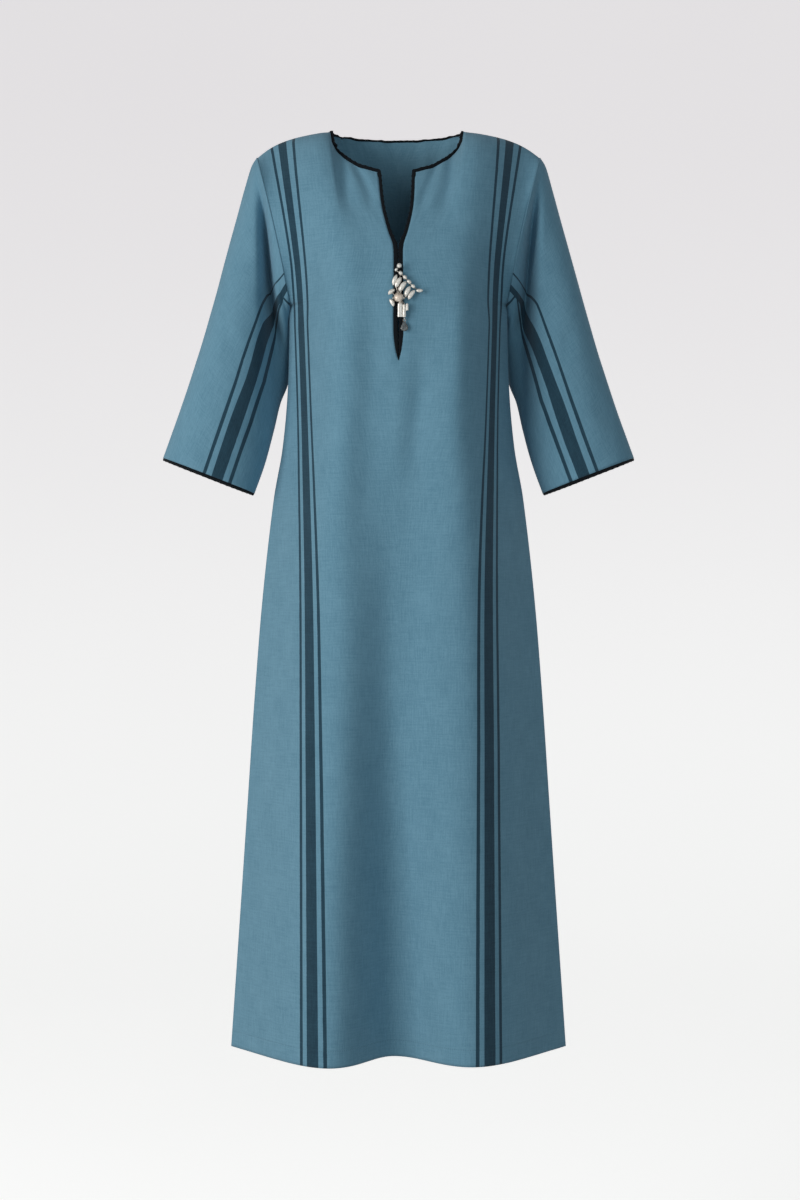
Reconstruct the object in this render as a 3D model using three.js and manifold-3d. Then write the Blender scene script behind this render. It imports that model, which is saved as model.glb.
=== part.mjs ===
// A long kaftan with elbow sleeves, held out in its worn form with nobody in it.
// Millimetres, +Z up. The front faces -Y and the wearer's left side is at +X.
// The origin is midway between the two neck points, on the line of the shoulder seams.
import * as THREE from 'three';
import { mergeVertices } from 'three/addons/utils/BufferGeometryUtils.js';
import Module from 'manifold-3d';

const wasm = await Module();
wasm.setup();

// Driving dimensions of the cloth
const CLOTH = 1.5;
const SEAM_GAP = 0.5;
const HEM_Z = -1371;
const UNDERARM_Z = -260;
const UNDERARM_X = 163;
const SHOULDER_X = 211;
const NECK_X = 100;
const FRONT_NECK_DROP = 77;
const BACK_NECK_DROP = 8;
const FRONT_NECK_FORWARD = 70;
const BACK_NECK_BEHIND = 58;
const ARMHOLE_BOW = 55;
const SLIT_TOP_HALF = 27;
const SLIT_BOTTOM_Z = -357;
const CENTRE_LEAN = -3;
const CORNER = 5;
const BACK_POWER = 2.2;
const BOW_REACH = 1.3;
const BOW_EDGE = 6;
const BOW_INNER = 16;
const SHOULDER_SLOPE = 0.16;
const SHOULDER_ROUNDING = 22;
const ARMHOLE_CURVE = 1.25;
const FULLNESS = { middle: 0.95, fall: 0.42, from: 0.55, over: 0.7 };
const FLUTE_MEAN = 0.5;
const SIDE_FADE = 2;

// Driving dimensions of the edging on the neck, slit and cuffs
const EDGING_GAP = 0.5;
const EDGING_WIDTH = 5;
const EDGING_PROUD = 0.5;
const EDGING_NOSE = 1.1;
const SLIT_EDGING_MIN = 0.35;
const SLIT_CORNER = 4;
const EDGING_LEAST = 1;
const NOSE_SHARE = 0.4;
const MITRE_LEAST = 0.6;
const NEARLY_STRAIGHT = 0.999;

// How finely the cloth is divided
const NECK_COLUMNS = 4;
const SIDE_COLUMNS = 12;
const COLUMNS = NECK_COLUMNS + SIDE_COLUMNS;
const YOKE_ROWS = 12;
const SLIT_ROWS = 3;
const SKIRT_ROWS = 16;
const SLEEVE_RINGS = 12;

// Body sections: half width, front and back depth, slope of the front's sides, centre valley, back flutes
const BODY = [
  { z: -260, half: 163, front: 128, back: 98, side: 2.15, valley: 0, flutes: 0 },
  { z: -385, half: 166, front: 133, back: 101, side: 2.1, valley: 10, flutes: 2 },
  { z: -475, half: 174, front: 136, back: 103, side: 2.05, valley: 17, flutes: 4 },
  { z: -550, half: 187, front: 139, back: 106, side: 2.0, valley: 24, flutes: 7 },
  { z: -700, half: 204, front: 144, back: 113, side: 1.95, valley: 38, flutes: 13 },
  { z: -850, half: 216, front: 149, back: 121, side: 1.9, valley: 52, flutes: 19 },
  { z: -1000, half: 226, front: 154, back: 129, side: 1.88, valley: 66, flutes: 25 },
  { z: -1150, half: 236, front: 159, back: 137, side: 1.86, valley: 80, flutes: 31 },
  { z: -1371, half: 251, front: 166, back: 148, side: 1.84, valley: 98, flutes: 38 },
];
const VALLEY = { at: -6, left: 56, right: 74 };
const BACK_FLUTES = [
  { at: -118, width: 52, depth: 0.55 },
  { at: -8, width: 58, depth: 1.0 },
  { at: 112, width: 50, depth: 0.7 },
];

// Half width of the neck slit between the two cloth edges
const SLIT = [
  { z: -75, half: 27 },
  { z: -129, half: 23 },
  { z: -168, half: 14.5 },
  { z: -190, half: 7.6 },
  { z: -218, half: 6.6 },
  { z: -314, half: 7.2 },
  { z: -340, half: 4.5 },
  { z: -357, half: 0 },
];

// Sleeve sections from armhole to cuff, seen from the front, for the side at +X
const SLEEVE = [
  { along: 0, outX: 211, outZ: -40, inX: 163, inZ: -260, middle: 0, tuck: 0, depth: 55 },
  { along: 0.05, outX: 219.5, outZ: -53, inX: 164.2, inZ: -275, middle: 2, tuck: 12, depth: 57 },
  { along: 0.1, outX: 227, outZ: -76, inX: 164.7, inZ: -290, middle: 3, tuck: 24, depth: 59 },
  { along: 0.25, outX: 243, outZ: -135, inX: 162, inZ: -330, middle: 4, tuck: 38, depth: 60 },
  { along: 0.38, outX: 258, outZ: -190, inX: 165, inZ: -372, middle: 4, tuck: 34, depth: 60 },
  { along: 0.5, outX: 274, outZ: -250, inX: 176, inZ: -404, middle: 3, tuck: 22, depth: 59 },
  { along: 0.65, outX: 296, outZ: -328, inX: 187, inZ: -446, middle: 0, tuck: 12, depth: 56 },
  { along: 0.82, outX: 322, outZ: -408, inX: 201.5, inZ: -497, middle: -5, tuck: 4, depth: 52 },
  { along: 1, outX: 350.5, outZ: -490.5, inX: 216.5, inZ: -542.5, middle: -12, tuck: 0, depth: 48 },
];
const RING_CROWDING = 1.5;

// The deep fold down the front of each sleeve beside the armhole
const SLEEVE_FOLD = [
  { z: -50, x: 208, depth: 2 },
  { z: -90, x: 203, depth: 12 },
  { z: -150, x: 200, depth: 24 },
  { z: -237, x: 198, depth: 36 },
  { z: -330, x: 192, depth: 28 },
  { z: -402, x: 188, depth: 12 },
  { z: -480, x: 190, depth: 0 },
];
const FOLD_WIDTH = 22;
const FOLD_START = 0.03;
const FOLD_ROUNDING = 0.5;
const ARMHOLE_FADE = 4;
const UNDERARM_MITRE = 4;

// The ornament that pins the slit shut: places are from the middle of its ball
const BALL_Z = -268.5;
const BALL_X = 0.2;
const BALL_RADIUS = 6.2;
const SPRAY_LIFT = 1.4;
const WIRE = 0.7;
const STONE_GAP = 0.3;
const BEADS = [
  { name: 'bead_top', x: 1, z: 45.5, length: 6.6, width: 6.6, turn: 0 },
  { name: 'bead_top_small', x: -3.2, z: 40.3, length: 4.6, width: 3.6, turn: 50 },
  { name: 'bead_2', x: 3, z: 35, length: 5.4, width: 4.6, turn: -45 },
  { name: 'bead_3', x: 9.2, z: 29, length: 5.6, width: 4.8, turn: -45 },
  { name: 'bead_4', x: 15.4, z: 22.4, length: 6.6, width: 4.4, turn: -42 },
  { name: 'bead_5', x: 21.2, z: 15.8, length: 5.2, width: 4.2, turn: -42 },
  { name: 'bead_tip', x: 30.2, z: 10, length: 8.8, width: 4.6, turn: 0 },
];
const PETALS = [
  { name: 'petal_1', x: -5.2, z: 25.2, length: 15.5, width: 4, turn: 72 },
  { name: 'petal_2', x: -0.2, z: 21.8, length: 16.5, width: 5.8, turn: 62 },
  { name: 'petal_3', x: 6, z: 16, length: 16, width: 6, turn: 58 },
  { name: 'petal_4', x: 13.2, z: 8.4, length: 16, width: 5, turn: 68 },
  { name: 'petal_5', x: 19.6, z: 2.8, length: 15, width: 5, turn: 52 },
  { name: 'leaf_upper', x: -10.4, z: 8, length: 9.6, width: 4.6, turn: 35 },
  { name: 'leaf_lower', x: -9.9, z: -7.6, length: 9.6, width: 4.6, turn: -62 },
];
const STEMS = [
  { name: 'stem_long', x: 2.4, top: -8.4, length: 18.6, width: 6.4 },
  { name: 'stem_middle', x: 8.4, top: -10, length: 17.2, width: 4.2 },
  { name: 'stem_short', x: 12.8, top: -9, length: 9, width: 2.8 },
];
const STEM_DEPTH = 4;
const STEM_TOP_RADIUS = 0.42;
const STEM_FOOT_RADIUS = 0.5;
const STEM_WIRE_LENGTH = 4;
const PETAL_DEPTH = 0.8;
const BALL_DEPTH = 0.8;
const DISC_RADIUS = BALL_RADIUS * 0.8;
const PIN_PLATE = { width: 18, height: 3 };

// The loose drop under the stems, on a ring through a fixed eye
const EYE_X = 8.4;
const EYE_Z = -29.4;
const EYE_RADIUS = 1.9;
const RING_RADIUS = 1.9;
const LINK_WIRE = 0.5;
const LINK_GAP = 0.3;
const DROP_LENGTH = 13;
const DROP_WIDTH = 10.5;
const DROP_THICK = 5;

// Half the drop's outline: shares of its width and of its length
const DROP_OUTLINE = [
  [0, 0],
  [0.1, 0],
  [0.16, -0.12],
  [0.34, -0.36],
  [0.48, -0.62],
  [0.44, -0.84],
  [0.22, -0.97],
  [0, -1],
];

const COLOURS = {
  cloth: { color: 0x55819a, roughness: 0.92, metalness: 0 },
  edging: { color: 0x0b141c, roughness: 0.85, metalness: 0 },
  silver: { color: 0xb8b4ab, roughness: 0.35, metalness: 0.9 },
  stone: { color: 0xd9d2c6, roughness: 0.3, metalness: 0.1 },
  smoky: { color: 0x5f6a6c, roughness: 0.15, metalness: 0 },
};

const group = new THREE.Group();

function vector(x, y, z) {
  return new THREE.Vector3(x, y, z);
}

function addMesh(name, geometry, finish) {
  const mesh = new THREE.Mesh(geometry, new THREE.MeshStandardMaterial(COLOURS[finish]));
  mesh.name = name;
  group.add(mesh);
  return mesh;
}

// Value of a column of a table, smooth between its rows
function lookUp(table, key, column, at) {
  const rising = table[table.length - 1][key] > table[0][key];
  const last = table.length - 1;
  const before = (row) => (rising ? table[row][key] <= at : table[row][key] >= at);
  if (!before(0)) return table[0][column];
  if (before(last)) return table[last][column];
  let row = 0;
  while (before(row + 1)) row += 1;
  const span = table[row + 1][key] - table[row][key];
  const part = (at - table[row][key]) / span;
  const slope = (index) => {
    const low = Math.max(index - 1, 0);
    const high = Math.min(index + 1, last);
    return (table[high][column] - table[low][column]) / (table[high][key] - table[low][key]);
  };
  const square = part * part;
  const cube = square * part;
  return table[row][column] * (2 * cube - 3 * square + 1)
    + slope(row) * span * (cube - 2 * square + part)
    + table[row + 1][column] * (3 * square - 2 * cube)
    + slope(row + 1) * span * (cube - square);
}

// A closed solid from points and triangles, turned so that its faces point out
function closedGeometry(points, triangles) {
  let volume = 0;
  for (const [a, b, c] of triangles) {
    volume += points[a].dot(vector(0, 0, 0).crossVectors(points[b], points[c]));
  }
  const ordered = volume > 0 ? triangles : triangles.map(([a, b, c]) => [a, c, b]);
  const geometry = new THREE.BufferGeometry();
  const positions = points.flatMap((point) => point.toArray());
  geometry.setAttribute('position', new THREE.Float32BufferAttribute(positions, 3));
  geometry.setIndex(ordered.flat());
  geometry.computeVertexNormals();
  return geometry;
}

// Outward direction at each point of a sheet of quads
function sheetNormals(points, quads) {
  const normals = points.map(() => vector(0, 0, 0));
  for (const [a, b, c, d] of quads) {
    const across = points[c].clone().sub(points[a]);
    const along = points[d].clone().sub(points[b]);
    const facing = across.cross(along);
    for (const corner of new Set([a, b, c, d])) normals[corner].add(facing);
  }
  return normals.map((normal) => normal.normalize());
}

function turnedOver([a, b, c, d]) {
  return [a, d, c, b];
}

// A wall of cloth: the quads face out, and each point has its own way in to the inner side
function clothWall(points, quads, inward) {
  const count = points.length;
  const inner = points.map((point, index) => point.clone().addScaledVector(inward[index], CLOTH));
  const triangles = [];
  const edges = new Map();
  for (const [a, b, c, d] of quads) {
    triangles.push([a, b, c], [a, c, d]);
    triangles.push([a + count, c + count, b + count], [a + count, d + count, c + count]);
    for (const [from, to] of [[a, b], [b, c], [c, d], [d, a]]) {
      edges.set(`${from},${to}`, [from, to]);
    }
  }
  for (const [from, to] of edges.values()) {
    if (edges.has(`${to},${from}`)) continue;
    if (from < to) triangles.push([to, from, to + count], [from, from + count, to + count]);
    else triangles.push([to, from, from + count], [to, from + count, to + count]);
  }
  return closedGeometry([...points, ...inner], triangles);
}

// A bar whose section changes along it; closed joins its last section to its first
function sweep(sections, closed) {
  const sides = sections[0].length;
  const points = sections.flat();
  const triangles = [];
  const spans = closed ? sections.length : sections.length - 1;
  for (let span = 0; span < spans; span += 1) {
    const here = span * sides;
    const next = ((span + 1) % sections.length) * sides;
    for (let side = 0; side < sides; side += 1) {
      const turn = (side + 1) % sides;
      triangles.push([here + side, next + side, next + turn]);
      triangles.push([here + side, next + turn, here + turn]);
    }
  }
  if (!closed) {
    const end = (sections.length - 1) * sides;
    for (let side = 1; side < sides - 1; side += 1) {
      triangles.push([0, side, side + 1], [end, end + side + 1, end + side]);
    }
  }
  return closedGeometry(points, triangles);
}

// Body shape

function slitHalf(z) {
  if (z <= SLIT_BOTTOM_Z) return 0;
  if (z >= SLIT[0].z) return SLIT[0].half;
  return Math.max(0, lookUp(SLIT, 'z', 'half', z));
}

function bodyHalf(z) {
  return lookUp(BODY, 'z', 'half', z);
}

function bell(distance, width) {
  return Math.exp(-((distance / width) ** 2));
}

// Share of the full depth: 1 over the middle and 0 at the side seam
function frontRound(share, z) {
  const slant = lookUp(BODY, 'z', 'side', z) * Math.max(0, 1 - share);
  return slant / (1 + slant ** CORNER) ** (1 / CORNER);
}

function backRound(share) {
  return Math.max(0, 1 - Math.min(1, share) ** BACK_POWER) ** (1 / BACK_POWER);
}

function frontDepth(x, z) {
  const round = frontRound(Math.abs(x) / bodyHalf(z), z);
  const offset = x - VALLEY.at;
  const width = offset < 0 ? VALLEY.left : VALLEY.right;
  const deepest = lookUp(BODY, 'z', 'valley', z) * Math.min(1, round * SIDE_FADE);
  return lookUp(BODY, 'z', 'front', z) * round - deepest * bell(offset, width);
}

function backDepth(x, z) {
  const round = backRound(Math.abs(x) / bodyHalf(z));
  let flutes = 0;
  for (const flute of BACK_FLUTES) flutes += flute.depth * bell(x - flute.at, flute.width);
  const deepest = lookUp(BODY, 'z', 'flutes', z);
  const fluted = flutes * Math.min(1, round * SIDE_FADE) - FLUTE_MEAN * round;
  return lookUp(BODY, 'z', 'back', z) * round + deepest * fluted;
}

function shoulderZ(x) {
  const out = Math.abs(x) - NECK_X;
  return -SHOULDER_SLOPE * out - SHOULDER_ROUNDING * (out / (SHOULDER_X - NECK_X)) ** 4;
}

function armholeX(rise) {
  return UNDERARM_X + (SHOULDER_X - UNDERARM_X) * rise ** ARMHOLE_CURVE;
}

// One yoke point: rise is 0 level with the underarm and 1 at the shoulder or neck edge
function yokePoint(side, sign, topX, share, rise) {
  const isFront = side === 'front';
  const neck = Math.sqrt(Math.max(0, 1 - (topX / NECK_X) ** 2));
  const neckDrop = isFront ? FRONT_NECK_DROP : BACK_NECK_DROP;
  const topZ = topX < NECK_X ? -neckDrop * neck : shoulderZ(topX);
  const topDepth = (isFront ? FRONT_NECK_FORWARD : BACK_NECK_BEHIND) * neck;
  const z = UNDERARM_Z + rise * (topZ - UNDERARM_Z);
  const slit = isFront ? slitHalf(z) : 0;
  const x = slit + (armholeX(rise) - slit) * share;
  const outShare = x / armholeX(rise);
  const lowX = outShare * UNDERARM_X;
  const low = isFront ? frontDepth(lowX, UNDERARM_Z) : backDepth(lowX, UNDERARM_Z);
  const blend = Math.min(1, Math.max(0, (topX / NECK_X - FULLNESS.from) / FULLNESS.over));
  const fullness = FULLNESS.middle - FULLNESS.fall * blend * blend * (3 - 2 * blend);
  const swell = (1 - rise ** 2) ** fullness;
  const bow = ARMHOLE_BOW * Math.sqrt(Math.max(0, 1 - (2 * rise - 1) ** 2));
  const round = isFront ? frontRound(outShare, UNDERARM_Z) : backRound(outShare);
  const innerBow = ARMHOLE_BOW * BOW_INNER * rise ** 2 * (1 - rise) ** 2;
  const edgeShare = (1 - round) ** BOW_EDGE;
  const forward = bow * edgeShare + innerBow * ((1 - round) ** BOW_REACH - edgeShare);
  const depth = topDepth + (low - topDepth) * swell + forward;
  const lean = CENTRE_LEAN * rise ** 2 * (1 - outShare ** 2);
  return vector(sign * x + lean, isFront ? -depth : depth, z);
}

function bodyPoint(side, sign, share, z) {
  const slit = side === 'front' ? slitHalf(z) : 0;
  const x = sign * (slit + (bodyHalf(z) - slit) * share);
  return vector(x, side === 'front' ? -frontDepth(x, z) : backDepth(x, z), z);
}

// Where each column stands on the shoulder line, from the middle out to the armhole
function columnTops(firstX) {
  const tops = [];
  for (let column = 0; column <= COLUMNS; column += 1) {
    if (column <= NECK_COLUMNS) tops.push(firstX + (NECK_X - firstX) * column / NECK_COLUMNS);
    else {
      const turn = Math.PI / 2 * (column - NECK_COLUMNS) / SIDE_COLUMNS;
      tops.push(NECK_X + (SHOULDER_X - NECK_X) * Math.sin(turn));
    }
  }
  return tops;
}

// Heights of the rows from the hem up to the underarm, one of them at the foot of the slit
function lowerRows() {
  const rows = [];
  for (let row = 0; row < SKIRT_ROWS; row += 1) {
    rows.push(HEM_Z + (SLIT_BOTTOM_Z - HEM_Z) * row / SKIRT_ROWS);
  }
  for (let row = 0; row < SLIT_ROWS; row += 1) {
    rows.push(SLIT_BOTTOM_Z + (UNDERARM_Z - SLIT_BOTTOM_Z) * row / SLIT_ROWS);
  }
  return rows;
}

function buildPanel(side) {
  const firstX = side === 'front' ? SLIT_TOP_HALF : 0;
  const tops = columnTops(firstX);
  const shares = tops.map((top) => (top - firstX) / (SHOULDER_X - firstX));
  const lower = lowerRows();
  const rowCount = lower.length + YOKE_ROWS + 1;
  const points = [];
  const ids = new Map();
  for (let row = 0; row < rowCount; row += 1) {
    const yoke = row - lower.length;
    for (const sign of [-1, 1]) {
      for (let column = 0; column <= COLUMNS; column += 1) {
        const open = side === 'front' && (yoke >= 0 || lower[row] > SLIT_BOTTOM_Z + 1);
        if (column === 0 && sign === 1 && !open) {
          ids.set(`${row},1,0`, ids.get(`${row},-1,0`));
          continue;
        }
        const rise = (1 - Math.cos(Math.PI * yoke / YOKE_ROWS)) / 2;
        ids.set(`${row},${sign},${column}`, points.length);
        points.push(yoke >= 0
          ? yokePoint(side, sign, tops[column], shares[column], rise)
          : bodyPoint(side, sign, shares[column], lower[row]));
      }
    }
  }
  const id = (row, sign, column) => ids.get(`${row},${sign},${column}`);
  const quads = [];
  for (let row = 0; row < rowCount - 1; row += 1) {
    for (const sign of [-1, 1]) {
      for (let column = 0; column < COLUMNS; column += 1) {
        const quad = [id(row, sign, column), id(row, sign, column + 1),
          id(row + 1, sign, column + 1), id(row + 1, sign, column)];
        const facesOut = (side === 'front') === (sign === 1);
        quads.push(facesOut ? quad : turnedOver(quad));
      }
    }
  }
  return { side, points, quads, id, rowCount, underarmRow: lower.length };
}

// Side and shoulder seams: the panels stop short of the middle plane, cut square to it
function squareSeams(panel, inward) {
  const away = (panel.side === 'front' ? -1 : 1) * SEAM_GAP / 2;
  const square = (index) => {
    inward[index].setY(0).normalize();
    panel.points[index].setY(away);
  };
  for (const sign of [-1, 1]) {
    for (let row = 0; row <= panel.underarmRow; row += 1) square(panel.id(row, sign, COLUMNS));
    const top = panel.rowCount - 1;
    for (let column = NECK_COLUMNS; column <= COLUMNS; column += 1) square(panel.id(top, sign, column));
  }
}

// Sleeve shape

function foldDepth(x, z, along) {
  const offset = x - lookUp(SLEEVE_FOLD, 'z', 'x', z);
  const depth = Math.max(0, lookUp(SLEEVE_FOLD, 'z', 'depth', z));
  return depth * bell(offset, FOLD_WIDTH) * (1 - bell(along, FOLD_START));
}

function sleeveOval(along, angle) {
  const at = (column) => lookUp(SLEEVE, 'along', column, along);
  const share = (1 + Math.cos(angle)) / 2;
  const x = at('inX') + (at('outX') - at('inX')) * share;
  const z = at('inZ') + (at('outZ') - at('inZ')) * share;
  const y = at('middle') + at('tuck') * (1 - share) - at('depth') * Math.sin(angle);
  return vector(x, y, z);
}

// A point of the sleeve at +X: angle 0 is the outer edge, then round by the front
function sleevePoint(along, angle) {
  const point = sleeveOval(along, angle);
  const rise = (1 + Math.cos(angle)) / 2;
  const tipZ = shoulderZ(SHOULDER_X);
  const edgeZ = UNDERARM_Z + rise * (tipZ - UNDERARM_Z);
  const edge = vector(armholeX(rise), -ARMHOLE_BOW * Math.sin(angle), edgeZ);
  point.add(edge.sub(sleeveOval(0, angle)).multiplyScalar((1 - along) ** ARMHOLE_FADE));
  const facingFront = Math.max(0, Math.sin(angle)) ** FOLD_ROUNDING;
  point.y += foldDepth(point.x, point.z, along) * facingFront;
  return point;
}

function buildSleeve(sign) {
  const around = YOKE_ROWS * 2;
  const points = [];
  const quads = [];
  for (let ring = 0; ring <= SLEEVE_RINGS; ring += 1) {
    const along = (ring / SLEEVE_RINGS) ** RING_CROWDING;
    for (let step = 0; step < around; step += 1) {
      const point = sleevePoint(along, 2 * Math.PI * step / around);
      points.push(vector(point.x * sign, point.y, point.z));
    }
  }
  for (let ring = 0; ring < SLEEVE_RINGS; ring += 1) {
    for (let step = 0; step < around; step += 1) {
      const next = (step + 1) % around;
      const here = ring * around;
      const quad = [here + step, here + next, here + around + next, here + around + step];
      quads.push(sign > 0 ? quad : turnedOver(quad));
    }
  }
  return { sign, around, points, quads };
}

// Armhole seams: panel and sleeve are cut to one mitre, each half a gap from the seam line
function mitreArmhole(sleeve, sleeveInward, panels) {
  const seam = sleeve.points.slice(0, sleeve.around).map((point) => point.clone());
  const sleeveOut = sleeveInward.slice(0, sleeve.around).map((inward) => inward.clone().negate());
  for (let step = 0; step < sleeve.around; step += 1) {
    const row = Math.abs(YOKE_ROWS - step);
    const owners = panels.filter(({ panel }) => {
      const frontHalf = step <= YOKE_ROWS;
      return row === 0 || row === YOKE_ROWS || (panel.side === 'front') === frontHalf;
    });
    const bisector = sleeveOut[step].clone().multiplyScalar(owners.length);
    for (const { panel, inward } of owners) {
      bisector.sub(inward[panel.id(panel.underarmRow + row, sleeve.sign, COLUMNS)]);
    }
    const low = Math.max(0, -Math.cos(2 * Math.PI * step / sleeve.around)) ** UNDERARM_MITRE;
    bisector.add(vector(0, 0, -low * owners.length));
    const before = seam[(step + sleeve.around - 1) % sleeve.around];
    const after = seam[(step + 1) % sleeve.around];
    const along = after.clone().sub(before).normalize();
    bisector.addScaledVector(along, -bisector.dot(along)).normalize();
    const toSleeve = vector(0, 0, 0).crossVectors(bisector, along);
    if (toSleeve.x * sleeve.sign < 0) toSleeve.negate();
    for (const { panel, inward } of owners) {
      const index = panel.id(panel.underarmRow + row, sleeve.sign, COLUMNS);
      panel.points[index].addScaledVector(toSleeve, -SEAM_GAP / 2);
      inward[index].copy(bisector).negate();
    }
    sleeve.points[step].addScaledVector(toSleeve, SEAM_GAP / 2);
    sleeveInward[step].copy(bisector).negate();
  }
}

// Edging: a narrow bar along a cloth edge, in line with the wall and a little thicker
function edgingSection(point, inward, away, width) {
  const place = (out, deep) => point.clone().addScaledVector(away, out).addScaledVector(inward, deep);
  const nose = Math.min(EDGING_NOSE, width * NOSE_SHARE);
  return [
    place(EDGING_GAP, -EDGING_PROUD),
    place(EDGING_GAP + width - nose, -EDGING_PROUD),
    place(EDGING_GAP + width, CLOTH / 2),
    place(EDGING_GAP + width - nose, CLOTH + EDGING_PROUD),
    place(EDGING_GAP, CLOTH + EDGING_PROUD),
  ];
}

function edgingAlong(edge, closed, widthAt) {
  const sections = edge.map(({ point, inward, from }, index) => {
    const last = edge.length - 1;
    const before = edge[closed ? (index + last) % edge.length : Math.max(index - 1, 0)].point;
    const after = edge[closed ? (index + 1) % edge.length : Math.min(index + 1, last)].point;
    const first = point.clone().sub(before).normalize();
    const second = after.clone().sub(point).normalize();
    const along = first.clone().add(second).normalize();
    const away = vector(0, 0, 0).crossVectors(inward, along).normalize();
    if (away.dot(point.clone().sub(from)) < 0) away.negate();
    if (inward.y === 0) away.setY(0).normalize();
    const corner = Math.max(MITRE_LEAST, along.dot(second.lengthSq() > 0 ? second : first));
    const width = widthAt(point);
    const section = edgingSection(point, inward, away, width);
    if (corner > NEARLY_STRAIGHT) return section;
    return edgingSection(point, inward, away.multiplyScalar(1 / corner), width);
  });
  return sweep(sections, closed);
}

// A smooth stone or bead: long and narrow, its length turned in the plane of the front
function stoneGeometry(x, y, z, length, width, depth, turn) {
  const geometry = new THREE.SphereGeometry(0.5, 10, 7);
  geometry.rotateX(Math.PI / 2);
  geometry.rotateY(Math.PI / 2);
  geometry.scale(length, depth, width);
  geometry.rotateY(-turn * Math.PI / 180);
  geometry.translate(x, y, z);
  return geometry;
}

function tubeAlong(points, radius, sides) {
  const bent = points.length > 2;
  const curve = bent ? new THREE.CatmullRomCurve3(points) : new THREE.LineCurve3(...points);
  const circle = new THREE.Shape();
  for (let side = 0; side <= sides; side += 1) {
    const angle = 2 * Math.PI * side / sides;
    const place = [radius * Math.cos(angle), radius * Math.sin(angle)];
    if (side === 0) circle.moveTo(...place);
    else if (side < sides) circle.lineTo(...place);
  }
  circle.closePath();
  const steps = bent ? (points.length - 1) * 2 : 1;
  const options = { steps, extrudePath: curve, bevelEnabled: false, curveSegments: 1 };
  return new THREE.ExtrudeGeometry(circle, options);
}

function toSolid(geometry) {
  const bare = geometry.clone();
  bare.deleteAttribute('normal');
  bare.deleteAttribute('uv');
  const merged = mergeVertices(bare, 1e-4);
  const vertProperties = new Float32Array(merged.attributes.position.array);
  const triVerts = new Uint32Array(merged.index.array);
  return new wasm.Manifold(new wasm.Mesh({ numProp: 3, vertProperties, triVerts }));
}

function fromSolid(solid) {
  const mesh = solid.getMesh();
  const geometry = new THREE.BufferGeometry();
  geometry.setAttribute('position', new THREE.Float32BufferAttribute(mesh.vertProperties, 3));
  geometry.setIndex(Array.from(mesh.triVerts));
  geometry.computeVertexNormals();
  return geometry;
}

function joined(geometries) {
  return fromSolid(geometries.map(toSolid).reduce((whole, piece) => whole.add(piece)));
}

// Cloth pieces
const panels = ['front', 'back'].map((side) => {
  const panel = buildPanel(side);
  const inward = sheetNormals(panel.points, panel.quads).map((normal) => normal.negate());
  return { panel, inward };
});
const sleeves = [-1, 1].map((sign) => {
  const sleeve = buildSleeve(sign);
  const inward = sheetNormals(sleeve.points, sleeve.quads).map((normal) => normal.negate());
  return { sleeve, inward };
});
for (const { panel, inward } of panels) squareSeams(panel, inward);
for (const { sleeve, inward } of sleeves) mitreArmhole(sleeve, inward, panels);
for (const { panel, inward } of panels) {
  addMesh(`${panel.side}_panel`, clothWall(panel.points, panel.quads, inward), 'cloth');
}
for (const { sleeve, inward } of sleeves) {
  const name = sleeve.sign > 0 ? 'sleeve_left' : 'sleeve_right';
  addMesh(name, clothWall(sleeve.points, sleeve.quads, inward), 'cloth');
}

// Edge of a panel from neck point to the middle, and down the slit of the front
function neckEdge({ panel, inward }, sign, withSlit) {
  const top = panel.rowCount - 1;
  const edge = [];
  for (let column = NECK_COLUMNS; column >= 0; column -= 1) {
    edge.push({ index: panel.id(top, sign, column), from: panel.id(top - 1, sign, column) });
  }
  if (withSlit) {
    edge[edge.length - 1].from = panel.id(top - 1, sign, 1);
    for (let row = top - 1; panel.id(row, 1, 0) !== panel.id(row, -1, 0); row -= 1) {
      edge.push({ index: panel.id(row, sign, 0), from: panel.id(row, sign, 1) });
    }
  }
  return edge.map(({ index, from }) => ({
    point: panel.points[index],
    inward: inward[index],
    from: panel.points[from],
  }));
}

// The slit's edging narrows where the two sides come close together
function slitEdging(point) {
  if (point.z > SLIT[0].z - SLIT_CORNER) return EDGING_WIDTH;
  const room = slitHalf(point.z) - EDGING_GAP - SLIT_EDGING_MIN;
  return Math.max(EDGING_LEAST, Math.min(EDGING_WIDTH, room));
}

const [front, back] = panels;
for (const sign of [-1, 1]) {
  const name = sign > 0 ? 'neck_edging_left' : 'neck_edging_right';
  addMesh(name, edgingAlong(neckEdge(front, sign, true), false, slitEdging), 'edging');
}
const backNeck = [...neckEdge(back, -1, false), ...neckEdge(back, 1, false).reverse().slice(1)];
addMesh('neck_edging_back', edgingAlong(backNeck, false, () => EDGING_WIDTH), 'edging');
for (const { sleeve, inward } of sleeves) {
  const start = sleeve.points.length - sleeve.around;
  const edge = [];
  for (let step = 0; step < sleeve.around; step += 1) {
    const index = start + step;
    edge.push({
      point: sleeve.points[index],
      inward: inward[index],
      from: sleeve.points[index - sleeve.around],
    });
  }
  const name = sleeve.sign > 0 ? 'cuff_edging_left' : 'cuff_edging_right';
  addMesh(name, edgingAlong(edge, true, () => EDGING_WIDTH), 'edging');
}

// The ornament stands on the front, just off the edging of the slit
const clothY = -frontDepth(0, BALL_Z);
const wireY = clothY - EDGING_PROUD - STONE_GAP - WIRE - SPRAY_LIFT;
const stoneY = (depth) => wireY - WIRE - STONE_GAP - depth / 2;
const spray = (x, z) => vector(BALL_X + x, wireY, BALL_Z + z);

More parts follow.
